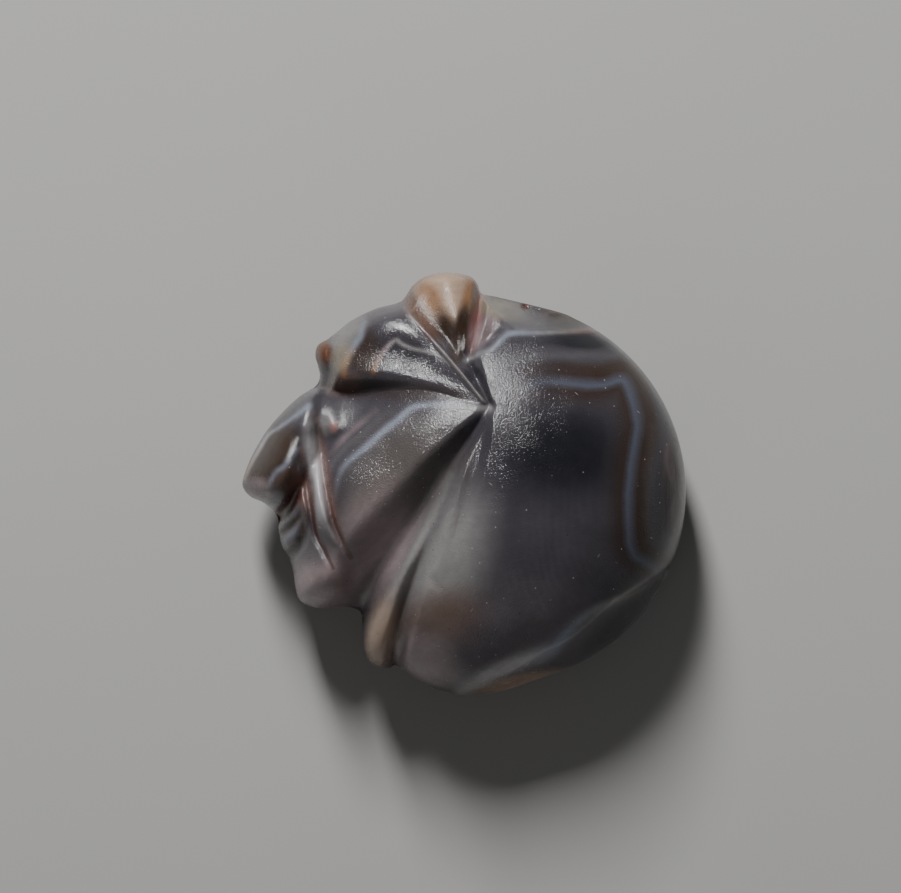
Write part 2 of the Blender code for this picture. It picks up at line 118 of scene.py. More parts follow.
def hermite(at: Array, nodes: Values, values: Values, flat_ends: bool = False) -> Array:
    """Smooth curve through values: cubic pieces whose slope at a node is the mean of its two chords.

    Args:
        at: where the curve is taken.
        nodes: rising places of the values.
        values: values at the nodes.
        flat_ends: level at both ends and at each turn, so that it never overshoots.

    Returns:
        The curve at each place.
    """
    nodes, values = np.asarray(nodes, float), np.asarray(values, float)
    gap = np.diff(nodes)
    grade = np.diff(values) / gap
    first, last = (0, 0) if flat_ends else (grade[0], grade[-1])
    slope = np.concatenate([[first], (grade[:-1] + grade[1:]) / 2, [last]])
    if flat_ends:
        turns = np.concatenate([[False], grade[:-1] * grade[1:] <= 0, [False]])
        slope = np.where(turns, 0, slope)
    i = np.clip(np.searchsorted(nodes, at, side="right") - 1, 0, len(gap) - 1)
    t = np.clip((at - nodes[i]) / gap[i], 0, 1)
    return ((2 * t**3 - 3 * t**2 + 1) * values[i] + (t**3 - 2 * t**2 + t) * gap[i] * slope[i]
            + (3 * t**2 - 2 * t**3) * values[i + 1] + (t**3 - t**2) * gap[i] * slope[i + 1])


def spread(share: Array, values: Values) -> Array:
    """Values spaced evenly along a path, blended smoothly at each share of its length.

    Args:
        share: shares of the length, 0 to 1.
        values: one value, or several from the start to the end.

    Returns:
        The value at each share.
    """
    if len(values) == 1:
        return np.full(np.shape(share), float(values[0]))
    return hermite(share, np.linspace(0, 1, len(values)), values, flat_ends=True)


def smooth_path(points: Path, steps: int = 6) -> Array:
    """Open Catmull-Rom curve through the points: each cubic piece's end slopes are its neighbours' chords.

    Args:
        points: points that the curve goes through.
        steps: pieces between two points.

    Returns:
        Points along the curve, one row each.
    """
    p = np.array(points, float)
    p = np.vstack([2 * p[0] - p[1], p, 2 * p[-1] - p[-2]])
    t = np.linspace(0, 1, steps, endpoint=False)[:, None]
    pieces = [
        0.5 * (2 * b + (c - a) * t + (2 * a - 5 * b + 4 * c - d) * t**2 + (3 * b - a - 3 * c + d) * t**3)
        for a, b, c, d in zip(p[:-3], p[1:-2], p[2:-1], p[3:])
    ]
    return np.vstack(pieces + [p[-2:-1]])


def to_path(x: Array, y: Array, points: Path) -> tuple[Array, Array]:
    """Signed distance to a smooth path, and the share of its length at the nearest point.

    The distance is the least over the path's straight pieces, positive to the left of travel.

    Args:
        x: plan places.
        y: plan places.
        points: points that the path goes through.

    Returns:
        Signed distances, and shares from 0 to 1.
    """
    line = smooth_path(points)
    run = np.concatenate([[0], np.cumsum(np.hypot(*np.diff(line, axis=0).T))])
    best, signed, share = np.full(x.shape, np.inf), np.zeros(x.shape), np.zeros(x.shape)
    for k, (start, end) in enumerate(zip(line[:-1], line[1:])):
        ex, ey = end - start
        length = np.hypot(ex, ey)
        dx, dy = x - start[0], y - start[1]
        t = np.clip((dx * ex + dy * ey) / length**2, 0, 1)
        distance = np.hypot(dx - t * ex, dy - t * ey)
        nearer = distance < best
        best = np.where(nearer, distance, best)
        signed = np.where(nearer, distance * np.where(ex * dy - ey * dx >= 0, 1, -1), signed)
        share = np.where(nearer, (run[k] + t * length) / run[-1], share)
    return signed, share


@dataclass(frozen=True)
class Run:
    """A gently curved path on the plan, measured in the frame of its chord."""

    points: Path
    fineness: int = 500

    def measure(self, x: Array, y: Array) -> tuple[Array, Array, Array]:
        """Distance across the curve, share of its length and side, from the point's place along the chord.

        The offset from the curve is divided by sqrt(1 + slope^2), which makes it square to the curve.

        Args:
            x: plan places.
            y: plan places.

        Returns:
            Distances, shares from 0 to 1, and sides (+1 right of travel, -1 left).
        """
        p = np.array(self.points, float)
        chord = p[-1] - p[0]
        length = np.hypot(*chord)
        ex, ey = chord / length
        forward, right = (x - p[0, 0]) * ex + (y - p[0, 1]) * ey, (x - p[0, 0]) * ey - (y - p[0, 1]) * ex
        path_forward, path_right = (p - p[0]) @ np.array([ex, ey]), (p - p[0]) @ np.array([ey, -ex])
        inside = np.clip(forward, 0, length)
        step = length / self.fineness
        ahead, behind = np.clip(inside + step, 0, length), np.clip(inside - step, 0, length)
        rise = hermite(ahead, path_forward, path_right) - hermite(behind, path_forward, path_right)
        across = (right - hermite(inside, path_forward, path_right)) / np.sqrt(1 + (rise / (2 * step)) ** 2)
        distance = np.hypot(across, forward - inside)
        return distance, inside / length, across / np.maximum(distance, TINY)


@dataclass(frozen=True)
class Groove:
    """A wheel-cut groove: V section whose bottom and shoulders are rounded by shares of its width."""

    path: Path
    depth: Values
    left: Values
    right: Values
    bottom: float
    shoulder: float

    def carve(self, z: Array, x: Array, y: Array) -> Array:
        """Lower the heights by depth * (1 - section), section rising as a hyperbola from the path.

        Args:
            z: heights so far.
            x: plan places.
            y: plan places.

        Returns:
            The new heights.
        """
        distance, share, side = Run(self.path).measure(x, y)
        width = spread(share, self.left) * (0.5 - 0.5 * side) + spread(share, self.right) * (0.5 + 0.5 * side)
        rise = np.sqrt((distance / width) ** 2 + self.bottom**2) - self.bottom
        section = rise / (np.sqrt(1 + self.bottom**2) - self.bottom)
        return z - spread(share, self.depth) * smooth_max(1 - section, 0 * z, self.shoulder)


@dataclass(frozen=True)
class Ridge:
    """A rounded ridge, a bell curve across its path."""

    path: Path
    height: Values
    width: Values

    def carve(self, z: Array, x: Array, y: Array) -> Array:
        """Raise the heights by height * exp(-(distance / width)^2).

        Args:
            z: heights so far.
            x: plan places.
            y: plan places.

        Returns:
            The new heights.
        """
        distance, share, _ = Run(self.path).measure(x, y)
        return z + spread(share, self.height) * np.exp(-((distance / spread(share, self.width)) ** 2))


@dataclass(frozen=True)
class Lobe:
    """An ellipsoid that the head is blocked out from; beyond its edge it falls away slowly."""

    centre: Pair
    half: Pair
    height: float
    turn: float = 0.0
    blend: float = 0.05
    skirt: float = 0.08
    skirt_reach: float = 4.0

    def cap(self, x: Array, y: Array) -> Array:
        """Height * sqrt(1 - q), q the squared distance in half sizes, less skirt * (q - 1) outside.

        Args:
            x: plan places.
            y: plan places.

        Returns:
            Heights of the cap.
        """
        q = ellipse(x, y, self.centre, self.half, self.turn)
        dome = self.height * np.sqrt(np.clip(1 - q, 0, None))
        return dome - self.skirt * np.clip(q - 1, 0, self.skirt_reach)


@dataclass(frozen=True)
class Chip:
    """A shell-shaped chip: a hollow with a crisp rim and faint ripples about the point that was struck."""

    centre: Pair
    half: Pair
    depth: float
    turn: float = 0.0
    ripple: float = 0.0
    ripple_rate: float = 14.0

    def carve(self, z: Array, x: Array, y: Array) -> Array:
        """Lower the heights by depth * (1 - q) * (1 + ripple * cos), q the squared distance in half sizes.

        Args:
            z: heights so far.
            x: plan places.
            y: plan places.

        Returns:
            The new heights.
        """
        q = ellipse(x, y, self.centre, self.half, self.turn)
        rings = 1 + self.ripple * np.cos(self.ripple_rate * np.sqrt(q))
        return z - self.depth * np.clip(1 - q, 0, 1) * rings


@dataclass(frozen=True)
class StruckFlat:
    """A flat where the mane was struck away: its inner edge by bearing, and how hollow it runs down."""

    inner_edge: Path
    hollow: float


def ellipse(x: Array, y: Array, centre: Pair, half: Pair, turn: float) -> Array:
    """Squared distance from an ellipse's centre in its half sizes: (u / a)^2 + (v / b)^2.

    Args:
        x: plan places.
        y: plan places.
        centre: middle of the ellipse.
        half: its half sizes.
        turn: its turn in degrees, counter-clockwise.

    Returns:
        Squared distances, 1 on the ellipse.
    """
    angle = np.radians(turn)
    dx, dy = x - centre[0], y - centre[1]
    u = (dx * np.cos(angle) + dy * np.sin(angle)) / half[0]
    v = (dy * np.cos(angle) - dx * np.sin(angle)) / half[1]
    return u * u + v * v


CHEEK_LINE = [(-29.4, -3.6), (-28.7, -0.2), (-27.6, 3.2), (-25.8, 5.4), (-22.4, 8.1), (-18.3, 11.8),
              (-14.9, 14.5), (-11.8, 17.2), (-7.7, 17.9), (-3.2, 17.9), (1.4, 17.4), (5.7, 17.2)]
EAR_LINE = [(-13.6, 39.8), (-4.3, 29.2), (5.4, 17.6)]
FOLD_LINE = [(-33.7, 15.8), (-32.8, 12.7), (-31.9, 7.0), (-30.8, -0.7), (-29.4, -7.5), (-27.4, -12.7),
             (-25.6, -16.7)]
LIP_LINE = [(-36.7, 7.7), (-35.3, 0.9), (-34.4, -4.8), (-33.3, -11.1), (-31.4, -14.9), (-29.6, -19.0)]


@dataclass(frozen=True)
class HeadPlan:
    """The head's outline seen from the carved side."""

    meeting_point: Pair = (5.4, 17.2)
    mane_centre: Pair = (7.0, -1.8)
    mane_radius: float = 43.2
    mane_top: Path = ((8.1, 42.2), (5.2, 42.8))
    ear: Path = ((3.7, 43.4), (3.1, 45.2), (1.6, 46.8), (-1.4, 47.6), (-5.4, 47.7), (-9.0, 46.8),
                 (-11.5, 45.0), (-13.3, 42.3), (-14.9, 41.0))
    forehead: Path = ((-20.1, 39.6), (-25.3, 37.1), (-28.5, 34.6), (-30.8, 32.8))
    brow_knob: Path = ((-33.0, 31.4), (-33.6, 29.2), (-33.0, 26.7), (-32.6, 24.4), (-33.5, 22.2))
    nose: Path = ((-37.1, 19.9), (-41.0, 16.3), (-44.8, 11.8), (-48.0, 6.3), (-49.9, 1.4), (-49.9, -0.9),
                  (-48.2, -2.9))
    mouth: Path = ((-45.5, -4.1), (-43.4, -5.7), (-42.1, -7.7), (-41.9, -10.4), (-41.2, -13.8),
                   (-39.6, -16.5))
    jaw: Path = ((-38.6, -19.9), (-38.0, -23.8), (-37.1, -26.2), (-34.8, -27.6), (-31.4, -28.2),
                 (-27.6, -27.9), (-24.9, -28.1), (-23.2, -29.4))
    collar: Path = ((-22.9, -33.5), (-22.4, -37.6), (-21.3, -40.3), (-19.0, -41.5), (-16.7, -41.6),
                    (-15.4, -41.0))
    mane_low: Path = ((-12.7, -42.8), (-9.0, -45.2), (-5.0, -46.8), (-0.5, -47.7), (4.8, -47.5),
                      (10.0, -46.4), (14.9, -44.7))
    arc_bearings: tuple[float, float, float] = (-73.0, 77.0, 6.0)
    steps: int = 10

    def outline(self) -> Array:
        """Closed Catmull-Rom curve through the edges and the mane's arc, counter-clockwise.

        Returns:
            Points of the outline, one row each.
        """
        bearing = np.radians(np.arange(*self.arc_bearings))
        arc = np.column_stack([np.cos(bearing), np.sin(bearing)]) * self.mane_radius + self.mane_centre
        drawn = [*self.mane_top, *self.ear, *self.forehead, *self.brow_knob, *self.nose, *self.mouth,
                 *self.jaw, *self.collar, *self.mane_low, *map(tuple, arc)]
        closed = smooth_path([drawn[-1], *drawn, drawn[0], drawn[1]], self.steps)
        return closed[self.steps:-self.steps - 1]

    def edge(self, bearing: Array) -> Array:
        """Distance from the meeting point to the outline at each bearing, read off the outline.

        Args:
            bearing: bearings about the meeting point in degrees.

        Returns:
            Radii of the edge.
        """
        offset = self.outline() - np.array(self.meeting_point)
        on_line = np.degrees(np.arctan2(offset[:, 1], offset[:, 0])) % 360
        order = np.argsort(on_line)
        return np.interp(bearing % 360, on_line[order], np.hypot(*offset.T)[order], period=360)

    def polar(self, x: Array, y: Array) -> tuple[Array, Array]:
        """Bearing and distance of plan places from the meeting point.

        Args:
            x: plan places.
            y: plan places.

        Returns:
            Bearings in degrees, 0 to 360, and distances.
        """
        dx, dy = x - self.meeting_point[0], y - self.meeting_point[1]
        return np.degrees(np.arctan2(dy, dx)) % 360, np.hypot(dx, dy)


@dataclass(frozen=True)
class HeadRelief:
    """The carved side: lobes under a rounded edge, then grooves, ridges, the struck flats and chips."""

    plan: HeadPlan = HeadPlan()
    mane: Lobe = Lobe((7.0, -1.8), (45.2, 45.2), 1.0)
    lobes: tuple[Lobe, ...] = (
        Lobe((-2.7, -17.2), (28.3, 35.7), 0.84),
        Lobe((-17.9, -35.3), (10.9, 12.4), 0.49, blend=0.04),
        Lobe((-7.7, 12.2), (32.8, 38.9), 0.74),
        Lobe((-4.1, 40.3), (10.0, 10.4), 0.47, blend=0.04),
        Lobe((-17.9, -0.7), (27.1, 19.9), 0.85, turn=-138.0, blend=0.07),
        Lobe((-30.8, -16.3), (14.9, 17.2), 0.62, blend=0.07),
        Lobe((-37.6, 7.2), (22.6, 13.6), 0.57, turn=-123.0, blend=0.04),
    )
    edge_height: float = 1.22
    edge_blend: float = 0.07
    collar: tuple[Groove, ...] = (
        Groove([(5.2, 17.0), (1.4, 11.3), (-2.9, 5.2), (-10.0, -6.1), (-16.1, -15.2), (-21.0, -22.9),
                (-25.3, -31.2)],
               [0.02, 0.12, 0.20, 0.26, 0.26, 0.23, 0.19], [1.4, 2.0, 2.9, 3.6, 4.1, 4.1, 4.1],
               [1.8, 3.2, 5.4, 7.2, 8.1, 8.1, 6.8], 0.22, 0.4),
        Groove([(3.6, 13.3), (-1.4, 4.1), (-4.3, -3.6), (-7.7, -11.5), (-10.6, -19.5), (-12.9, -26.9),
                (-14.9, -33.9), (-16.1, -43.0)],
               [0.01, 0.05, 0.06, 0.07, 0.08, 0.11, 0.15, 0.22], [1.4, 1.8, 2.3, 2.9, 3.6, 3.6, 3.2, 2.7],
               [1.6, 2.0, 2.5, 2.7, 2.7, 2.7, 2.7, 2.3], 0.15, 0.3),
        Groove([(5.4, 17.2), (3.8, 10.6), (1.4, 2.0), (-0.7, -6.6), (-2.7, -14.9)],
               [0.02, 0.05, 0.04, 0.02, 0.0], [1.4, 2.2, 2.6, 2.6, 1.8], [1.8, 2.7, 3.4, 2.9, 1.4], 0.9, 0.5),
    )
    brow: tuple[Groove | Ridge, ...] = (
        Groove([(-34.4, 22.2), (-26.9, 20.6), (-19.0, 21.0), (-7.7, 20.8), (-0.5, 18.8), (5.0, 17.2)],
               [0.12, 0.16, 0.13, 0.09, 0.04, 0.01], [2.4, 2.9, 3.1, 2.9, 2.0, 1.4],
               [2.7, 6.8, 9.5, 8.1, 5.0, 1.8], 0.10, 0.5),
        Ridge([(-23.1, 33.9), (-16.0, 35.4), (-10.5, 33.8), (-6.0, 30.6)], [0.01, 0.045, 0.035, 0.01],
              [3.2, 3.6, 3.0, 2.2]),
        Groove([(-23.5, 28.6), (-15.6, 27.7), (-8.2, 25.2), (-1.4, 21.5), (5.0, 17.6)],
               [0.0, 0.01, 0.03, 0.02, 0.01], [4.0, 4.6, 4.0, 2.7, 1.4], [3.0, 3.2, 3.0, 2.3, 1.4], 0.5, 0.4),
        Ridge([(-28.1, 23.2), (-20.1, 23.0), (-13.3, 22.4), (-7.2, 20.9), (-2.7, 18.8)],
              [0.0, 0.008, 0.024, 0.012, 0.0], [4.0, 5.0, 5.0, 4.0, 2.4]),
        Groove([(-28.7, 34.2), (-29.9, 29.9), (-30.1, 25.3), (-31.2, 21.7)],
               [0.02, 0.06, 0.09, 0.12], [1.6, 1.8, 1.8, 1.8], [1.8, 2.3, 2.3, 2.3], 0.3, 0.3),
    )
    ear: tuple[Groove | Ridge, ...] = (
        Groove([(-10.4, 43.4), (-5.9, 36.0), (0.5, 27.6), (5.4, 17.9)],
               [0.02, 0.05, 0.05, 0.02], [5.0, 4.0, 2.6, 1.2], [4.0, 3.4, 2.2, 0.9], 0.7, 0.7),
        Ridge(EAR_LINE, [0.01, 0.04, 0.03], [0.55, 0.55, 0.5]),
        Ridge([(-3.2, 45.7), (-2.5, 39.4), (-0.9, 29.9)], [0.09, 0.09, 0.03], [5.0, 4.4, 2.2]),
        Groove([(3.9, 44.3), (3.1, 37.6), (1.4, 29.4)], [0.18, 0.16, 0.07], [1.8, 1.8, 1.3], [1.9, 1.9, 1.4],
               0.15, 0.12),
        Groove([(-5.4, 40.3), (-4.1, 34.8), (-2.0, 29.2)], [0.0, 0.012, 0.01], [2.2, 2.0, 0.9],
               [2.0, 1.8, 0.8], 0.8, 0.8),
        Groove([(0.5, 40.3), (0.2, 34.8), (-0.5, 29.2)], [0.0, 0.012, 0.01], [2.0, 1.8, 0.8],
               [1.8, 1.6, 0.8], 0.8, 0.8),
        Groove([(0.9, 28.7), (5.0, 32.1), (8.8, 36.2)], [0.01, 0.11, 0.04], [2.0, 3.2, 3.2], [1.4, 2.0, 2.0],
               0.3, 0.12),
        Groove([(0.5, 28.1), (2.9, 23.3), (5.6, 17.6)], [0.02, 0.09, 0.03], [2.0, 1.6, 0.9], [2.0, 1.8, 0.9],
               0.25, 0.25),
    )
    nose: tuple[Groove | Ridge, ...] = (
        Ridge([(-34.2, 19.0), (-35.8, 12.4), (-39.3, 4.6), (-44.2, -2.6)], [0.03, 0.05, 0.11, 0.04],
              [2.0, 2.8, 3.8, 2.8]),
        Ridge([(-34.4, 16.2), (-35.4, 13.4)], [0.04, 0.04], [2.2, 2.2]),
        Ridge([(-37.6, 3.2), (-40.3, -1.4)], [0.02, 0.02], [2.9, 2.9]),
        Ridge([(-30.0, 17.0), (-29.8, 13.3)], [0.03, 0.04], [2.0, 2.0]),
    )
    mouth: tuple[Groove | Ridge, ...] = (
        Groove([(-44.8, -9.3), (-41.6, -7.5), (-39.1, -4.5), (-37.1, -0.5)], [0.20, 0.16, 0.10, 0.02],
               [1.9, 1.9, 1.7, 1.2], [1.8, 1.7, 1.5, 1.2], 0.3, 0.2),
        Groove([(-43.9, -13.3), (-40.7, -11.3), (-37.8, -8.8), (-36.2, -6.3)], [0.06, 0.05, 0.04, 0.01],
               [1.3, 1.3, 1.1, 0.9], [1.3, 1.3, 1.1, 0.9], 0.3, 0.3),
        Groove([(-42.5, -17.4), (-39.4, -16.3), (-36.7, -13.8), (-35.7, -10.0), (-36.2, -5.4)],
               [0.05, 0.05, 0.04, 0.03, 0.01], [1.5, 1.5, 1.5, 1.4, 1.2], [1.3, 1.3, 1.3, 1.2, 1.0],
               0.3, 0.3),
        Ridge([(-41.0, -14.5), (-38.5, -12.0)], [0.02, 0.02], [1.8, 1.8]),
        Groove(FOLD_LINE, [0.0, 0.07, 0.095, 0.095, 0.085, 0.065, 0.0], [0.9, 1.1, 1.1, 1.1, 0.9, 0.8, 0.5],
               [1.4, 2.0, 2.3, 2.0, 1.4, 0.9, 0.5], 0.1, 0.15),
        Ridge([(-33.7, 13.3), (-32.8, 7.0), (-31.9, -0.7), (-30.5, -7.5), (-28.5, -12.7)],
              [0.01, 0.04, 0.04, 0.03, 0.01], [1.1, 1.1, 1.1, 1.0, 0.9]),
        Groove(LIP_LINE, [0.0, 0.05, 0.08, 0.07, 0.05, 0.0], [1.4, 1.8, 1.6, 1.1, 0.7, 0.5],
               [0.9, 1.1, 1.1, 0.9, 0.7, 0.5], 0.12, 0.15),
    )
    chips: tuple[Chip, ...] = (
        Chip((16.6, 38.4), (3.2, 2.0), 0.050, turn=-20.0, ripple=0.12),
        Chip((20.2, 37.2), (2.2, 1.4), 0.040, turn=10.0, ripple=0.12),
        Chip((13.9, 40.2), (1.3, 1.2), 0.040),
        Chip((46.6, 3.5), (1.4, 4.6), 0.008, turn=12.0, ripple=0.3),
        Chip((47.4, -5.2), (1.2, 3.0), 0.007, turn=-8.0),
        Chip((-6.6, -21.5), (2.4, 1.2), 0.010, turn=-60.0),
    )
    flats: tuple[StruckFlat, ...] = (
        StruckFlat([(34.7, 30.5), (42.0, 25.8), (49.8, 22.8), (60.0, 20.1), (70.7, 18.5), (82.3, 20.3),
                    (93.0, 24.0), (95.0, 24.9)], 1.0),
        StruckFlat([(263.0, 65.4), (268.0, 63.3), (275.0, 59.3), (282.0, 56.1), (288.0, 55.0), (293.0, 53.6),
                    (299.0, 51.8), (306.0, 51.4), (312.0, 52.3), (318.0, 53.6), (320.0, 54.3)], 1.2),
    )
    swell: float = 0.0011
    swell_waves: tuple[tuple[float, float, float], ...] = (
        (0.31, 0.12, 0.4), (-0.17, 0.29, 1.9), (0.44, -0.33, 3.1), (0.21, 0.55, 5.2), (-0.6, 0.2, 0.7))
    swell_margin: float = 0.12
    chip_margin: float = 0.03

    def blocked_out(self, x: Array, y: Array) -> Array:
        """The head before carving: lobes joined by rounded maxima under edge_height * sqrt(1 - share^2).

        Args:
            x: plan places.
            y: plan places.

        Returns:
            Heights as shares of the dome's height.
        """
        z = self.mane.cap(x, y)
        for lobe in self.lobes:
            z = smooth_max(z, lobe.cap(x, y), lobe.blend)
        bearing, radius = self.plan.polar(x, y)
        share = np.clip(radius / self.plan.edge(bearing), 0, 1)
        return smooth_min(z, self.edge_height * np.sqrt(1 - share**2), self.edge_blend)

    def strike(self, z: Array, x: Array, y: Array, flat: StruckFlat) -> Array:
        """Lower the heights to a flat: the height at its inner edge times (1 - run)^hollow out to the edge.

        Args:
            z: heights so far.
            x: plan places.
            y: plan places.
            flat: the flat.

        Returns:
            The new heights.
        """
        bearing, radius = self.plan.polar(x, y)
        nodes = np.array(flat.inner_edge)
        within = (bearing >= nodes[0, 0]) & (bearing <= nodes[-1, 0])
        inner, turn = hermite(bearing, nodes[:, 0], nodes[:, 1]), np.radians(bearing)
        start = self.blocked_out(self.plan.meeting_point[0] + inner * np.cos(turn),
                                 self.plan.meeting_point[1] + inner * np.sin(turn))
        outer = self.plan.edge(bearing)
        run = np.clip((radius - inner) / np.maximum(outer - inner, TINY), 0, 1)
        struck = np.minimum(z, start * (1 - run) ** flat.hollow)
        return np.where(within & (radius > inner) & (inner < outer), struck, z)

    def hand_cut(self, x: Array, y: Array) -> Array:
        """Faint swell left by hand grinding: a sum of crossed sine waves, sin(a * x + b * y + c).

        Args:
            x: plan places.
            y: plan places.

        Returns:
            Heights about zero.
        """
        return self.swell * sum(np.sin(a * x + b * y + c) for a, b, c in self.swell_waves)

    def height(self, x: Array, y: Array) -> Array:
        """The carved side's height over the widest section.

        Args:
            x: plan places.
            y: plan places.

        Returns:
            Heights as shares of the dome's height, never below 0.
        """
        z = self.blocked_out(x, y)
        for cuts in (self.collar, self.brow, self.ear, self.nose, self.mouth):
            for cut in cuts:
                z = cut.carve(z, x, y)
        for flat in self.flats:
            z = self.strike(z, x, y, flat)
        bearing, radius = self.plan.polar(x, y)
        from_edge = 1 - radius / self.plan.edge(bearing)
        z = z + self.hand_cut(x, y) * smooth_step(from_edge, 0.0, self.swell_margin)
        inland = smooth_step(from_edge, 0.0, self.chip_margin)
        for chip in self.chips:
            z = z + (chip.carve(z, x, y) - z) * inland
        return np.maximum(z, 0)


class Tint(Enum):
    """Colours for the stone, linear; a few also serve as painted shade, painted fill light and painted
    glints.
    """

    NIGHT = (0.008, 0.009, 0.013)
    SMOKE = (0.056, 0.051, 0.060)
    VIOLET = (0.105, 0.090, 0.102)
    UMBER = (0.038, 0.022, 0.015)
    CHOCOLATE = (0.110, 0.062, 0.043)
    MIST = (0.080, 0.088, 0.118)
    GREY = (0.105, 0.100, 0.105)
    WARM_GREY = (0.115, 0.100, 0.092)
    PALE_GREY = (0.270, 0.262, 0.255)
    MILK_BLUE = (0.235, 0.262, 0.320)
    MILK = (0.460, 0.440, 0.450)
    ROSE = (0.330, 0.165, 0.150)
    ROSE_GREY = (0.290, 0.225, 0.232)
    TAN = (0.340, 0.240, 0.175)
    HONEY = (0.210, 0.100, 0.042)
    RUST = (0.105, 0.042, 0.020)
    BRICK = (0.160, 0.082, 0.066)
    OXBLOOD = (0.075, 0.022, 0.015)
    STRAW = (0.240, 0.210, 0.160)


@dataclass(frozen=True)
class Cloud:
    """A soft patch of colour: mostly the stone's own, in a few places painted shade or painted fill light."""

    tint: Tint
    centre: Pair
    half: Pair
    turn: float = 0.0
    strength: float = 1.0
    core: float = 0.35
    fade: float = 1.3

    def cover(self, x: Array, y: Array) -> Array:
        """Share of the patch's colour: full inside core of its half sizes, none beyond fade of them.

        Args:
            x: plan places.
            y: plan places.

        Returns:
            Shares from 0 to 1.
        """
        reach = np.sqrt(ellipse(x, y, self.centre, self.half, self.turn))
        return self.strength * (1 - smooth_step(reach, self.core, self.fade))


@dataclass(frozen=True)
class WornPatch:
    """A soft patch where the polish has worn off."""

    centre: Pair
    half: Pair
    turn: float = 0.0
    strength: float = 1.0
    core: float = 0.4
    fade: float = 1.3

    def cover(self, x: Array, y: Array) -> Array:
        """How worn: full inside core of its half sizes, none beyond fade of them.

        Args:
            x: plan places.
            y: plan places.

        Returns:
            Shares from 0 to 1.
        """
        reach = np.sqrt(ellipse(x, y, self.centre, self.half, self.turn))
        return self.strength * (1 - smooth_step(reach, self.core, self.fade))


@dataclass(frozen=True)
class Vein:
    """A thin band or a stained line in the stone, by its centre line."""

    tints: tuple[Tint, ...]
    path: Path
    half_width: Values
    strength: Values

    def measure(self, x: Array, y: Array) -> tuple[Array, Array, Array]:
        """Distance from the line in half widths, with the line's colour and strength at the nearest point.

        Args:
            x: plan places.
            y: plan places.

        Returns:
            Distances, colours one row each, and strengths.
        """
        signed, share = to_path(x, y, self.path)
        colours = np.array([tint.value for tint in self.tints])
        at = np.column_stack([spread(share, colours[:, k]) for k in range(3)])
        return np.abs(signed) / spread(share, self.half_width), at, spread(share, self.strength)


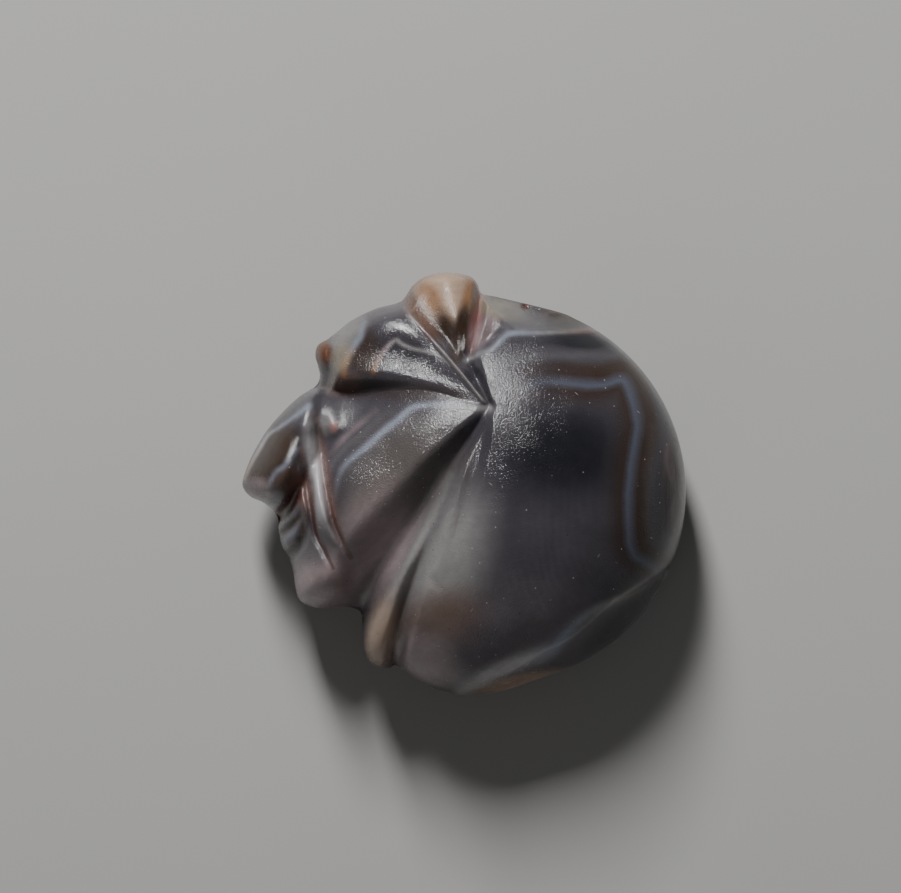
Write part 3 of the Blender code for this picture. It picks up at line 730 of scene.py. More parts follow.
@dataclass(frozen=True)
class StonePattern:
    """How the agate is coloured and worn: clouds (a few are painted shade or fill light), the main contour,
    veins, stains and worn patches.
    """

    drift: Pair = (0.35, -0.22)
    splay: float = 3.7
    splay_centre: Pair = (-3.0, 8.7)
    ground: Tint = Tint.SMOKE
    clouds: tuple[Cloud, ...] = (
        Cloud(Tint.NIGHT, (22.5, 6.5), (17.0, 13.0), strength=0.85),
        Cloud(Tint.SMOKE, (20.0, -20.0), (22.0, 20.0), strength=0.5),
        Cloud(Tint.VIOLET, (12.0, -33.5), (24.0, 12.0)),
        Cloud(Tint.PALE_GREY, (-4.2, -17.5), (10.5, 19.0), turn=-22.0, strength=0.95, core=0.1),
        Cloud(Tint.CHOCOLATE, (-5.2, -30.5), (11.5, 8.0), turn=20.0, strength=0.85, core=0.1),
        Cloud(Tint.ROSE_GREY, (-9.5, -40.0), (10.0, 6.5), turn=-25.0, strength=0.95),
        Cloud(Tint.WARM_GREY, (-12.5, 3.5), (15.0, 12.0), turn=35.0, strength=0.7),
        Cloud(Tint.WARM_GREY, (-18.0, -8.0), (15.0, 11.0), turn=50.0, strength=0.7),
        # Partly the stone's mauve grey, partly painted fill light: these two clouds lighten the low cheek and
        # jaw, which face away from the soft panel.
        Cloud(Tint.ROSE_GREY, (-20.0, -13.5), (10.0, 14.0), turn=-25.0, strength=0.8),
        Cloud(Tint.ROSE_GREY, (-31.5, -22.5), (11.0, 9.0)),
        Cloud(Tint.GREY, (-33.6, -14.5), (5.0, 5.0), strength=0.8),
        # Painted shade: a darker strip laid along the floor of the collar groove behind the jaw.
        Cloud(Tint.SMOKE, (-17.5, -16.0), (1.8, 21.0), turn=-33.5, strength=0.3),
        # Painted shade: a dark brown strip along the under-brow groove, where the brow roll's lower side is
        # shaded.
        Cloud(Tint.UMBER, (-14.0, 21.0), (19.0, 2.6), turn=-4.0, strength=0.45),
        Cloud(Tint.SMOKE, (-15.0, 35.5), (11.0, 4.5), turn=8.0, strength=0.85),
        Cloud(Tint.UMBER, (-23.0, 30.0), (5.0, 7.0), turn=20.0, strength=0.8),
        # Painted shade: a dark strip along the shallow valley between the forehead crest and the brow roll.
        Cloud(Tint.NIGHT, (-12.5, 28.0), (8.0, 2.2), turn=-25.0, strength=0.4),
        Cloud(Tint.PALE_GREY, (-26.8, 33.2), (3.0, 6.5), turn=-42.0, strength=0.6),
        Cloud(Tint.STRAW, (-28.0, 28.5), (2.6, 4.0), turn=-15.0, strength=0.7),
        Cloud(Tint.RUST, (-32.4, 30.0), (2.6, 3.4), core=0.6),
        Cloud(Tint.CHOCOLATE, (-27.0, 22.5), (5.0, 3.0), strength=0.7),
        Cloud(Tint.UMBER, (-43.5, 6.0), (5.0, 8.5), turn=-35.0, core=0.6),
        Cloud(Tint.CHOCOLATE, (-39.6, 0.6), (4.0, 3.6), turn=40.0, strength=0.9),
        Cloud(Tint.ROSE_GREY, (-46.5, -1.5), (3.5, 3.0), strength=0.9),
        Cloud(Tint.MILK, (-33.6, 3.0), (2.6, 13.0), turn=6.0, strength=0.65),
        Cloud(Tint.BRICK, (-36.4, -1.5), (2.2, 5.5), turn=10.0, strength=0.7),
        Cloud(Tint.OXBLOOD, (-40.0, -5.0), (4.6, 1.7), turn=42.0, strength=0.9),
        Cloud(Tint.MIST, (-39.4, -12.6), (3.4, 2.6), turn=30.0, strength=0.7),
        Cloud(Tint.PALE_GREY, (-31.0, 14.0), (2.2, 3.2), strength=0.6),
        Cloud(Tint.ROSE, (-29.5, 13.0), (1.2, 1.6), strength=0.7),
        Cloud(Tint.GREY, (-27.0, 17.0), (4.0, 2.4), strength=0.5),
        Cloud(Tint.TAN, (-4.0, 43.0), (9.0, 7.5), core=0.55),
        Cloud(Tint.HONEY, (-7.8, 42.4), (2.4, 4.6), turn=30.0, strength=0.8),
        Cloud(Tint.CHOCOLATE, (-10.9, 40.2), (2.2, 5.4), turn=33.0, strength=0.95, core=0.2),
        Cloud(Tint.CHOCOLATE, (-7.6, 35.6), (2.4, 4.0), turn=35.0, strength=0.8),
        Cloud(Tint.HONEY, (1.5, 42.0), (2.2, 6.0), turn=-8.0, strength=0.95),
        Cloud(Tint.UMBER, (-4.2, 35.6), (2.6, 5.2), turn=17.0, strength=0.95, core=0.2),
        Cloud(Tint.UMBER, (-0.2, 35.6), (2.1, 5.8), turn=-5.0, core=0.5),
        Cloud(Tint.UMBER, (-1.6, 31.0), (2.2, 4.4), strength=0.85),
        Cloud(Tint.ROSE, (2.6, 36.5), (1.5, 7.0), turn=-8.0, strength=0.95),
        Cloud(Tint.ROSE_GREY, (4.6, 35.0), (2.4, 5.5), turn=-35.0, strength=0.8),
        Cloud(Tint.STRAW, (8.5, 39.5), (6.5, 2.4), turn=-10.0, strength=0.85),
        Cloud(Tint.GREY, (13.5, 38.5), (6.5, 3.0), turn=-12.0, strength=0.6),
        Cloud(Tint.UMBER, (25.0, 37.2), (8.0, 3.0), turn=-18.0, strength=0.95, core=0.6),
        Cloud(Tint.OXBLOOD, (13.9, 40.4), (1.1, 1.1), strength=0.85),
        Cloud(Tint.HONEY, (27.4, 38.2), (3.2, 0.9), turn=-18.0, strength=0.8),
        Cloud(Tint.GREY, (-9.5, -13.0), (2.2, 20.0), turn=-27.0, strength=0.7),
        Cloud(Tint.TAN, (-18.6, -34.0), (4.2, 9.0), turn=-15.0),
        Cloud(Tint.NIGHT, (45.5, -2.0), (5.5, 26.0), strength=0.9, core=0.6),
        Cloud(Tint.OXBLOOD, (47.5, -1.0), (3.0, 13.0), turn=4.0, strength=0.7),
        Cloud(Tint.BRICK, (46.6, 5.0), (1.3, 4.6), turn=8.0, strength=0.9),
        Cloud(Tint.NIGHT, (30.0, 31.0), (15.0, 4.4), turn=-24.0, strength=0.9),
        Cloud(Tint.TAN, (11.5, -45.0), (13.0, 2.0), turn=12.0, strength=0.95),
        Cloud(Tint.NIGHT, (37.0, -30.0), (12.0, 3.2), turn=38.0, strength=0.8),
    )
    contour: Path = (
        *CHEEK_LINE, (8.1, 19.0), (11.1, 20.6), (14.9, 22.2), (19.9, 23.1), (26.2, 22.4), (31.9, 22.4),
        (34.8, 23.3), (36.4, 22.9), (38.0, 19.0), (39.1, 13.3), (38.2, 7.7), (37.3, 0.9), (37.1, -5.9),
        (37.3, -12.7), (38.5, -16.1), (41.0, -17.9), (43.9, -19.5), (57.9, -26.2))
    contour_strength: Values = (0.0,) * 9 + (0.35, 0.8) + (1.0,) * 12
    veins: tuple[Vein, ...] = (
        Vein((Tint.GREY, Tint.MILK_BLUE, Tint.MILK_BLUE, Tint.PALE_GREY), CHEEK_LINE,
             [0.6, 0.8, 0.8, 1.0], [0.6, 0.8, 0.9, 0.8, 0.7]),
        Vein((Tint.GREY,), [(-31.4, -0.7), (-29.6, 4.8), (-26.9, 8.4), (-23.1, 11.5), (-19.0, 15.2),
                            (-16.3, 16.7)], [0.8], [0.1, 0.6, 0.5, 0.1]),
        Vein((Tint.ROSE_GREY,), [(-30.3, 6.6), (-26.9, 10.6), (-23.1, 14.0), (-19.9, 16.7)], [0.8],
             [0.1, 0.5, 0.4, 0.1]),
        Vein((Tint.PALE_GREY, Tint.MILK_BLUE, Tint.PALE_GREY, Tint.ROSE),
             [(0.5, 27.8), (3.2, 29.4), (6.3, 30.5), (8.8, 33.0), (10.9, 34.2), (14.9, 34.2), (21.7, 34.4),
              (28.5, 34.6), (31.4, 34.8)], [0.7, 0.7, 0.55, 0.5], [0.5, 0.8, 0.7, 0.5, 0.3]),
        Vein((Tint.HONEY, Tint.ROSE_GREY, Tint.PALE_GREY, Tint.PALE_GREY, Tint.PALE_GREY),
             [(-20.5, 25.4), (-19.9, 27.1), (-18.3, 29.8), (-16.6, 31.7), (-15.3, 32.6), (-14.0, 31.7),
              (-11.4, 30.6), (-7.5, 29.8), (-5.3, 28.9), (-3.2, 27.1)], [0.6, 0.5, 0.45, 0.4],
             [0.8, 0.9, 0.95, 0.9, 0.5]),
        Vein((Tint.MILK_BLUE, Tint.MILK_BLUE, Tint.TAN, Tint.HONEY),
             [(-22.6, 36.7), (-23.5, 33.3), (-24.8, 31.4), (-26.1, 29.3), (-27.0, 26.7), (-27.1, 24.2)],
             [0.8, 0.8, 0.7], [0.4, 0.7, 0.7, 0.6]),
        Vein((Tint.MILK_BLUE, Tint.MILK_BLUE, Tint.MILK, Tint.TAN),
             [(-35.2, 17.6), (-38.7, 15.0), (-41.7, 12.9), (-44.3, 11.1), (-46.4, 7.7), (-48.2, 4.6),
              (-49.7, 1.1)], [0.8, 0.45, 0.45, 0.45], [0.8, 0.8, 0.8, 0.7]),
        Vein((Tint.MILK_BLUE, Tint.MILK_BLUE, Tint.PALE_GREY),
             [(-38.2, 7.7), (-40.4, 4.2), (-42.1, 2.9), (-43.4, 1.1), (-44.3, -1.0), (-44.5, -3.2)],
             [0.8, 0.6], [0.5, 0.7, 0.5]),
        Vein((Tint.PALE_GREY, Tint.MILK, Tint.MILK, Tint.PALE_GREY),
             [(-34.4, 12.9), (-33.5, 6.8), (-32.6, 1.1), (-32.1, -4.1), (-31.7, -8.4), (-29.6, -11.8)],
             [1.2, 1.3, 1.1, 0.7], [0.6, 0.8, 0.7, 0.3]),
        Vein((Tint.PALE_GREY, Tint.PALE_GREY, Tint.TAN),
             [(-2.8, 1.9), (-6.2, -5.6), (-9.5, -12.4), (-12.9, -19.8), (-16.3, -26.6), (-19.0, -33.4),
              (-20.4, -38.8)], [1.0, 1.5, 1.6, 1.4], [0.2, 0.75, 0.8, 0.7]),
        Vein((Tint.GREY,), [(42.7, 12.7), (42.0, 3.2), (41.6, -7.0), (42.7, -13.8)], [1.3], [0.2, 0.45, 0.3]),
        Vein((Tint.GREY,), [(9.3, 27.6), (14.9, 28.7), (21.7, 29.2), (28.5, 29.2), (34.2, 29.0)], [1.0],
             [0.2, 0.5, 0.5, 0.2]),
        Vein((Tint.GREY, Tint.PALE_GREY, Tint.MILK_BLUE, Tint.MILK, Tint.PALE_GREY),
             [(45.4, -19.9), (40.7, -23.2), (35.2, -26.0), (28.4, -29.3), (23.7, -33.4), (20.3, -37.1),
              (14.9, -39.5), (8.1, -42.2), (2.7, -45.0), (-0.7, -47.3)], [0.8, 1.0, 1.7, 1.6],
             [0.6, 0.9, 1.2, 1.2]),
        Vein((Tint.ROSE_GREY, Tint.PALE_GREY), EAR_LINE, [0.4], [0.2, 0.8, 0.6]),
    )
    stains: tuple[Vein, ...] = (
        Vein((Tint.BRICK, Tint.BRICK, Tint.BRICK, Tint.CHOCOLATE), FOLD_LINE, [0.6, 1.1, 1.0, 0.5],
             [0.4, 0.9, 0.95, 0.9]),
        Vein((Tint.BRICK, Tint.OXBLOOD, Tint.OXBLOOD), LIP_LINE, [0.7, 0.7, 0.35], [0.5, 0.85, 0.85]),
        Vein((Tint.OXBLOOD,), [(-43.4, -8.6), (-41.4, -6.8), (-39.0, -3.8), (-36.8, 0.6)], [1.5, 1.1],
             [1.1, 1.1, 0.5]),
        Vein((Tint.UMBER,), [(-43.0, -11.8), (-39.6, -9.6), (-37.1, -7.4)], [0.9], [1.2, 1.0]),
        Vein((Tint.UMBER,), [(-41.4, -17.0), (-39.3, -15.2), (-37.2, -12.7), (-36.0, -9.0), (-36.0, -6.0)],
             [1.4, 1.1, 0.8], [1.2, 1.1, 0.7]),
        Vein((Tint.CHOCOLATE,), [(-9.5, -15.1), (-12.2, -22.6), (-14.3, -28.7), (-15.6, -34.8)], [0.5],
             [0.2, 0.5, 0.6]),
        Vein((Tint.OXBLOOD,), [(-15.0, -34.5), (-16.0, -37.5), (-16.2, -42.0)], [0.5], [0.6, 0.9, 0.8]),
        Vein((Tint.OXBLOOD,), [(3.4, 43.0), (3.2, 38.0), (2.0, 31.0)], [0.35], [0.5, 0.7, 0.5]),
        Vein((Tint.CHOCOLATE,), [(-0.5, -4.0), (-1.5, -8.0), (-2.5, -12.0)], [0.4], [0.1, 0.4, 0.1]),
    )
    worn: tuple[WornPatch, ...] = (
        WornPatch((-4.5, 42.0), (9.5, 7.5)),
        WornPatch((-32.0, 30.0), (4.5, 5.5), strength=0.8),
        WornPatch((-46.5, 0.0), (5.0, 6.0), turn=-30.0, strength=0.5),
        WornPatch((17.0, 38.5), (15.0, 3.5), turn=-14.0, strength=0.3),
        WornPatch((-1.4, 30.5), (3.2, 4.6), strength=0.9),
        WornPatch((8.0, -44.0), (17.0, 3.0), turn=14.0, strength=0.5),
        WornPatch((-32.0, -24.0), (9.0, 6.0), strength=0.5),
        WornPatch((-18.5, -38.0), (5.5, 6.5), strength=0.5),
    )
    far: float = 9.0

    def wear(self, x: Array, y: Array) -> Array:
        """How worn the polish is, by the strongest patch."""
        return np.max([patch.cover(x, y) for patch in self.worn], axis=0)

    def inside(self, points: Array, unit: float, widest: float) -> tuple[Array, Array]:
        """Plan places of the pattern at each point: its own place, splayed with height, drifted with depth.

        Above the widest section the place is spread from the splay's centre by 1 + splay * height; below it
        the place moves aside by drift * depth.

        Args:
            points: points of the stone in metres, one row each, already centred on the plan's middle.
            unit: metres in a hundredth of the length.
            widest: height of the widest section in metres.

        Returns:
            Plan places x and y in hundredths.
        """
        depth = np.clip(widest - points[:, 2], 0, None) / unit
        spread_out = 1 + self.splay * np.clip(points[:, 2] - widest, 0, None)
        x, y = ((points[:, k] / unit - c) * spread_out + c for k, c in enumerate(self.splay_centre))
        return x + self.drift[0] * depth, y + self.drift[1] * depth

    def ground_colour(self, x: Array, y: Array) -> Array:
        """Clouds laid over the ground one after another, each by its own share.

        Args:
            x: plan places.
            y: plan places.

        Returns:
            Linear colours with an alpha of 1, one row each.
        """
        colour = np.tile(np.array(self.ground.value), (len(x), 1))
        for cloud in self.clouds:
            share = cloud.cover(x, y)[:, None]
            colour = colour * (1 - share) + np.array(cloud.tint.value) * share
        return np.column_stack([colour, np.ones(len(x))])

    def nearest(self, x: Array, y: Array, veins: Sequence[Vein]) -> tuple[Array, Array]:
        """The vein that is nearest in its own half widths.

        Args:
            x: plan places.
            y: plan places.
            veins: the veins to choose from.

        Returns:
            Distances in half widths, and colours with the strength as alpha, one row each.
        """
        best, colour = np.full(len(x), self.far), np.zeros((len(x), 4))
        for vein in veins:
            out, tint, strength = vein.measure(x, y)
            nearer = (out < best)[:, None]
            colour = np.where(nearer, np.column_stack([tint, strength]), colour)
            best = np.where(nearer[:, 0], out, best)
        return best, colour


class Signal:
    """A number's socket in the node tree that can stand in arithmetic."""

    def __init__(self, graph: "Graph", socket: bpy.types.NodeSocket) -> None:
        """Keep the socket and the graph that adds the Math nodes."""
        self.graph, self.socket = graph, socket

    def maths(self, operation: str, *others: Any, swapped: bool = False) -> "Signal":
        """Add a Math node on this signal and other signals or numbers.

        Args:
            operation: the Math node's operation.
            others: the other inputs.
            swapped: this signal comes after the others.

        Returns:
            The node's result.
        """
        inputs = [*others, self] if swapped else [self, *others]
        node = self.graph.node("ShaderNodeMath", {"operation": operation}, dict(enumerate(inputs)))
        return Signal(self.graph, node.outputs[0])

    def __add__(self, other: Any) -> "Signal":
        """Sum."""
        return self.maths("ADD", other)

    def __radd__(self, other: Any) -> "Signal":
        """Sum, the other first."""
        return self.maths("ADD", other, swapped=True)

    def __sub__(self, other: Any) -> "Signal":
        """Difference."""
        return self.maths("SUBTRACT", other)

    def __rsub__(self, other: Any) -> "Signal":
        """Difference, the other first."""
        return self.maths("SUBTRACT", other, swapped=True)

    def __mul__(self, other: Any) -> "Signal":
        """Product."""
        return self.maths("MULTIPLY", other)

    def __rmul__(self, other: Any) -> "Signal":
        """Product, the other first."""
        return self.maths("MULTIPLY", other, swapped=True)

    def __truediv__(self, other: Any) -> "Signal":
        """Quotient."""
        return self.maths("DIVIDE", other)

    def __rtruediv__(self, other: Any) -> "Signal":
        """Quotient, the other first."""
        return self.maths("DIVIDE", other, swapped=True)

    def bell(self) -> "Signal":
        """Bell curve exp(-signal^2)."""
        return (self * self * -1.0).maths("EXPONENT")

    def wave(self) -> "Signal":
        """Sine of the signal."""
        return self.maths("SINE")

    def rise(self, low: float, high: float) -> "Signal":
        """Smooth rise from 0 at low to 1 at high.

        Args:
            low: value at which the rise starts.
            high: value at which it ends.

        Returns:
            The risen signal.
        """
        node = self.graph.node("ShaderNodeMapRange", {"interpolation_type": "SMOOTHSTEP"},
                               {"Value": self, "From Min": low, "From Max": high})
        return Signal(self.graph, node.outputs["Result"])


@dataclass(frozen=True)
class Texture:
    """Soft noise: size of its features in metres, octaves, weight of each next octave, shift in features."""

    size: float
    detail: float
    weight: float = 0.5
    shift: float = 0.0


@dataclass(frozen=True)
class Flecks:
    """Scattered spots, long or round, one in each cell of a random mesh.

    A cell is given by its sizes in metres, its turn about Z in radians and its shift in metres, a spot by
    its radius and the full part of that radius, both as shares.
    """

    cell: tuple[float, float, float]
    radius: float
    turn: float = 0.0
    shift: float = 0.0
    core: float = 0.3


class Graph:
    """The node tree of one material, with a method for any node and short ones for the usual kinds."""

    def __init__(self, name: str) -> None:
        """Make the material with a bare Principled shader.

        Args:
            name: name of the material.
        """
        self.material = bpy.data.materials.new(name)
        self.material.use_nodes = True
        self.tree = self.material.node_tree
        self.shader = self.tree.nodes["Principled BSDF"]

    def feed(self, socket: bpy.types.NodeSocket, value: Any) -> None:
        """Link a signal or a socket to an input, or set the input's own value.

        Args:
            socket: the input.
            value: a Signal, a socket, a number, a colour or a vector.
        """
        if isinstance(value, Signal):
            value = value.socket
        if isinstance(value, bpy.types.NodeSocket):
            self.tree.links.new(value, socket)
        elif isinstance(value, tuple) and socket.type == "RGBA":
            socket.default_value = (*value[:3], 1.0)
        else:
            socket.default_value = value

    def node(self, kind: str, settings: dict[str, Any], sockets: dict[Any, Any]) -> bpy.types.Node:
        """Add a node of any type.

        Args:
            kind: the node's type.
            settings: its properties, set first; stops is a ramp's list of places and colours.
            sockets: values or links by the input's name or number.

        Returns:
            The node.
        """
        node = self.tree.nodes.new(kind)
        for key, value in settings.items():
            if key == "stops":
                ramp = node.color_ramp
                while len(ramp.elements) < len(value):
                    ramp.elements.new(0.5)
                for element, (place, colour) in zip(ramp.elements, value):
                    element.position, element.color = place, (*colour, 1.0)
            else:
                setattr(node, key, value)
        for key, value in sockets.items():
            self.feed(node.inputs[key], value)
        return node

    def place(self) -> bpy.types.NodeSocket:
        """Object coordinates of the shaded point."""
        return self.node("ShaderNodeTexCoord", {}, {}).outputs["Object"]

    def attribute(self, name: str) -> bpy.types.Node:
        """Node that reads one of the mesh's own attributes."""
        return self.node("ShaderNodeAttribute", {"attribute_name": name}, {})

    def number(self, name: str) -> Signal:
        """One of the mesh's own attributes as a number."""
        return Signal(self, self.attribute(name).outputs["Fac"])

    def noise(self, texture: Texture) -> Signal:
        """Soft noise on Object coordinates.

        Args:
            texture: size, detail and shift of the noise.

        Returns:
            The noise, about 0.
        """
        shift = (texture.shift, -texture.shift, 2 * texture.shift)
        moved = self.node("ShaderNodeVectorMath", {"operation": "MULTIPLY_ADD"},
                          {0: self.place(), 1: (1 / texture.size,) * 3, 2: shift})
        node = self.node("ShaderNodeTexNoise", {}, {"Vector": moved.outputs[0], "Scale": 1.0,
                                                    "Detail": texture.detail, "Roughness": texture.weight})
        return Signal(self, node.outputs[0]) - 0.5

    def flecks(self, kind: Flecks) -> tuple[Signal, Signal]:
        """Spots, each 1 near the middle of its cell and fading to 0.

        Args:
            kind: cells, turn, shift and radius of the spots.

        Returns:
            The spots, and a random number from 0 to 1 for each cell.
        """
        moved = self.node("ShaderNodeMapping", {"vector_type": "TEXTURE"},
                          {"Vector": self.place(), "Location": (kind.shift,) * 3,
                           "Rotation": (0.0, 0.0, kind.turn), "Scale": kind.cell})
        cell = self.node("ShaderNodeTexVoronoi", {"feature": "F1"},
                         {"Vector": moved.outputs[0], "Scale": 1.0})
        chance = self.node("ShaderNodeSeparateColor", {}, {0: cell.outputs["Color"]})
        out = Signal(self, cell.outputs["Distance"])
        return 1.0 - out.rise(kind.core * kind.radius, kind.radius), Signal(self, chance.outputs[0])

    def mix(self, share: Any, low: Any, high: Any) -> bpy.types.NodeSocket:
        """Mix two colours.

        Args:
            share: share of the second colour.
            low: first colour.
            high: second colour.

        Returns:
            The mixed colour.
        """
        return self.node("ShaderNodeMix", {"data_type": "RGBA"}, {0: share, 6: low, 7: high}).outputs[2]

    def scaled(self, colour: Any, factor: Any) -> bpy.types.NodeSocket:
        """A colour times a factor."""
        node = self.node("ShaderNodeVectorMath", {"operation": "SCALE"}, {0: colour, "Scale": factor})
        return node.outputs[0]


@dataclass(frozen=True)
class Shell:
    """A layer beside the main contour: its distance in hundredths, its colour and how much it covers."""

    distance: float
    tint: Tint
    cover: float


@dataclass(frozen=True)
class AgateFinish:
    """Worn polish on banded agate: shells beside the main contour, veins, stains, dark and pale flecks (the
    pale ones partly painted glints) and fine grain.
    """

    name: str = "banded_agate"
    roughness: float = 0.13
    stain_roughness: float = 0.22
    worn_roughness: float = 0.24
    scuff_roughness: float = 0.2
    grain_roughness: float = 0.1
    refraction: float = 1.54
    depth_glow: float = 0.35
    glow_reach: float = 0.0012
    glow_colour: Colour = (1.0, 0.9, 0.85)
    wander: Texture = Texture(0.0011, 3.0, 0.55)
    ripple: Texture = Texture(0.00022, 2.0, shift=7.0)
    cloud: Texture = Texture(0.0032, 3.0, 0.6, shift=3.0)
    mottle: Texture = Texture(0.0006, 4.0, 0.65, shift=5.0)
    grain: Texture = Texture(0.00009, 2.0, 0.6, shift=11.0)
    scuff: Texture = Texture(0.0016, 4.0, 0.6, shift=13.0)
    grain_height: float = 0.000030
    grain_patches: float = 1.6
    worn_patches: float = 1.6
    contour_wander: float = 0.9
    contour_ripple: float = 0.25
    line_wander: float = 0.55
    line_ripple: float = 0.3
    line_cover: float = 0.85
    line_patches: float = 0.9
    banding_cover: float = 0.86
    banding_patches: float = 0.5
    layer_rate: float = 3.4
    layer_wander: float = 5.0
    layer_show: Pair = (-0.136, 0.227)
    cloud_shade: float = 0.55
    mottle_shade: float = 0.34
    layer_shade: float = 0.04
    grit_and_glints: Flecks = Flecks((0.00042,) * 3, 0.13)
    scratches: tuple[Flecks, ...] = (
        Flecks((0.00022, 0.0011, 0.0011), 0.16, turn=0.9, shift=0.003),
        Flecks((0.00022, 0.0011, 0.0011), 0.14, turn=-0.7, shift=0.007),
    )
    pale_chance: Pair = (0.74, 0.78)
    dark_chance: Pair = (0.86, 0.9)
    scratch_chance: Pair = (0.95, 0.97)
    pale_cover: float = 0.75
    dark_cover: float = 0.6
    scratch_cover: float = 0.45
    pale_depth: float = 0.6
    dark_depth: float = 0.8
    scratch_depth: float = 0.5
    shell_reach: float = 12.0
    shells: tuple[Shell, ...] = (
        Shell(-7.0, Tint.SMOKE, 0.0),
        Shell(-3.4, Tint.UMBER, 0.5),
        Shell(-1.6, Tint.UMBER, 0.9),
        Shell(-0.8, Tint.SMOKE, 0.9),
        Shell(-0.2, Tint.MIST, 1.0),
        Shell(0.2, Tint.MIST, 1.0),
        Shell(1.3, Tint.SMOKE, 0.9),
        Shell(2.2, Tint.UMBER, 1.0),
        Shell(4.0, Tint.UMBER, 1.0),
        Shell(5.8, Tint.SMOKE, 0.9),
        Shell(7.6, Tint.SMOKE, 0.7),
        Shell(8.8, Tint.NIGHT, 0.9),
        Shell(10.8, Tint.NIGHT, 0.7),
        Shell(12.0, Tint.UMBER, 0.0),
    )

    def ramp(self, graph: Graph, signal: Signal, colours: list[Colour]) -> bpy.types.NodeSocket:
        """Colour ramp over the shells' reach on both sides of the contour.

        Args:
            graph: the material's graph.
            signal: signed distance from the contour in hundredths.
            colours: a colour for each shell.

        Returns:
            The ramp's colour.
        """
        reach, span = self.shell_reach, 2 * self.shell_reach
        stops = [((shell.distance + reach) / span, colour) for shell, colour in zip(self.shells, colours)]
        node = graph.node("ShaderNodeValToRGB", {"stops": stops}, {0: (signal + reach) / span})
        return node.outputs["Color"]

    def ground(self, graph: Graph, contour: Signal, cloud: Signal, mottle: Signal,
               wander: Signal) -> bpy.types.NodeSocket:
        """The clouds' colour, shaded by soft mottling and by fine layers that follow the contour.

        Args:
            graph: the material's graph.
            contour: signed distance from the contour in hundredths.
            cloud: broad noise.
            mottle: fine noise.
            wander: noise that bends the layers.

        Returns:
            The shaded colour.
        """
        layers = (contour * self.layer_rate + self.layer_wander * wander).wave()
        layers = layers * cloud.rise(*self.layer_show)
        shade = 1.0 + self.cloud_shade * cloud + self.mottle_shade * mottle + self.layer_shade * layers
        return graph.scaled(graph.attribute("ground").outputs["Color"], shade)

    def banding(self, graph: Graph, colour: bpy.types.NodeSocket, contour: Signal,
                cloud: Signal) -> bpy.types.NodeSocket:
        """The shells laid over the ground, patchy with the clouds.

        Args:
            graph: the material's graph.
            colour: the ground's colour.
            contour: signed distance from the contour in hundredths.
            cloud: broad noise.

        Returns:
            The banded colour.
        """
        tints = self.ramp(graph, contour, [shell.tint.value for shell in self.shells])
        covers = self.ramp(graph, contour, [(shell.cover,) * 3 for shell in self.shells])
        patches = self.banding_cover + self.banding_patches * cloud
        share = Signal(graph, covers) * graph.number("contour_show") * patches
        return graph.mix(share, colour, tints)

    def line_share(self, graph: Graph, layer: str, wander: Signal, ripple: Signal, mottle: Signal) -> Signal:
        """Cover of the veins or stains: a bell curve of the distance in half widths, times their strength.

        Args:
            graph: the material's graph.
            layer: name of the attribute that holds the distance.
            wander: noise that bends the lines.
            ripple: fine noise that frays them.
            mottle: noise that breaks them up.

        Returns:
            Shares from 0 to about 1.
        """
        out = graph.number(layer) + self.line_wander * wander + self.line_ripple * ripple
        strength = Signal(graph, graph.attribute(layer + "_colour").outputs["Alpha"])
        return out.bell() * strength * (self.line_cover + self.line_patches * mottle)

    def material(self) -> bpy.types.Material:
        """Build the stone's material.

        Returns:
            The material.
        """
        graph = Graph(self.name)
        wander, ripple, cloud, mottle, grain, scuff = (graph.noise(texture) for texture in (
            self.wander, self.ripple, self.cloud, self.mottle, self.grain, self.scuff))
        contour = graph.number("contour") + self.contour_wander * wander + self.contour_ripple * ripple
        colour = self.ground(graph, contour, cloud, mottle, wander)
        colour = self.banding(graph, colour, contour, cloud)
        for layer in ("vein", "stain"):
            share = self.line_share(graph, layer, wander, ripple, mottle)
            colour = graph.mix(share, colour, graph.attribute(layer + "_colour").outputs["Color"])

        # The pale flecks are partly the stone's pale specks and partly painted glints, white dots laid into
        # the colour everywhere; the dark flecks and the scratches are the stone's.
        spot, chance = graph.flecks(self.grit_and_glints)
        pale, dark = spot * chance.rise(*self.pale_chance), spot * (1.0 - chance).rise(*self.dark_chance)
        scratch = sum(mark * luck.rise(*self.scratch_chance)
                      for mark, luck in map(graph.flecks, self.scratches))
        colour = graph.mix(pale * self.pale_cover + scratch * self.scratch_cover, colour, Tint.MILK.value)
        colour = graph.mix(dark * self.dark_cover, colour, Tint.NIGHT.value)

        worn = self.worn_roughness * graph.number("wear") * (1.0 + self.worn_patches * mottle)
        dulled = worn + self.stain_roughness * share
        roughness = self.roughness + self.scuff_roughness * scuff + self.grain_roughness * grain + dulled
        pits = self.dark_depth * dark + self.pale_depth * pale + self.scratch_depth * scratch
        relief = grain * (1.0 + self.grain_patches * scuff) - pits
        bump = graph.node("ShaderNodeBump", {}, {"Height": relief, "Distance": self.grain_height,
                                                 "Strength": 1.0})
        values = {"Base Color": colour, "Roughness": roughness, "Normal": bump.outputs["Normal"],
                  "IOR": self.refraction, "Subsurface Weight": self.depth_glow,
                  "Subsurface Radius": self.glow_colour, "Subsurface Scale": self.glow_reach, "Metallic": 0.0}
        for name, value in values.items():
            graph.feed(graph.shader.inputs[name], value)
        return graph.material


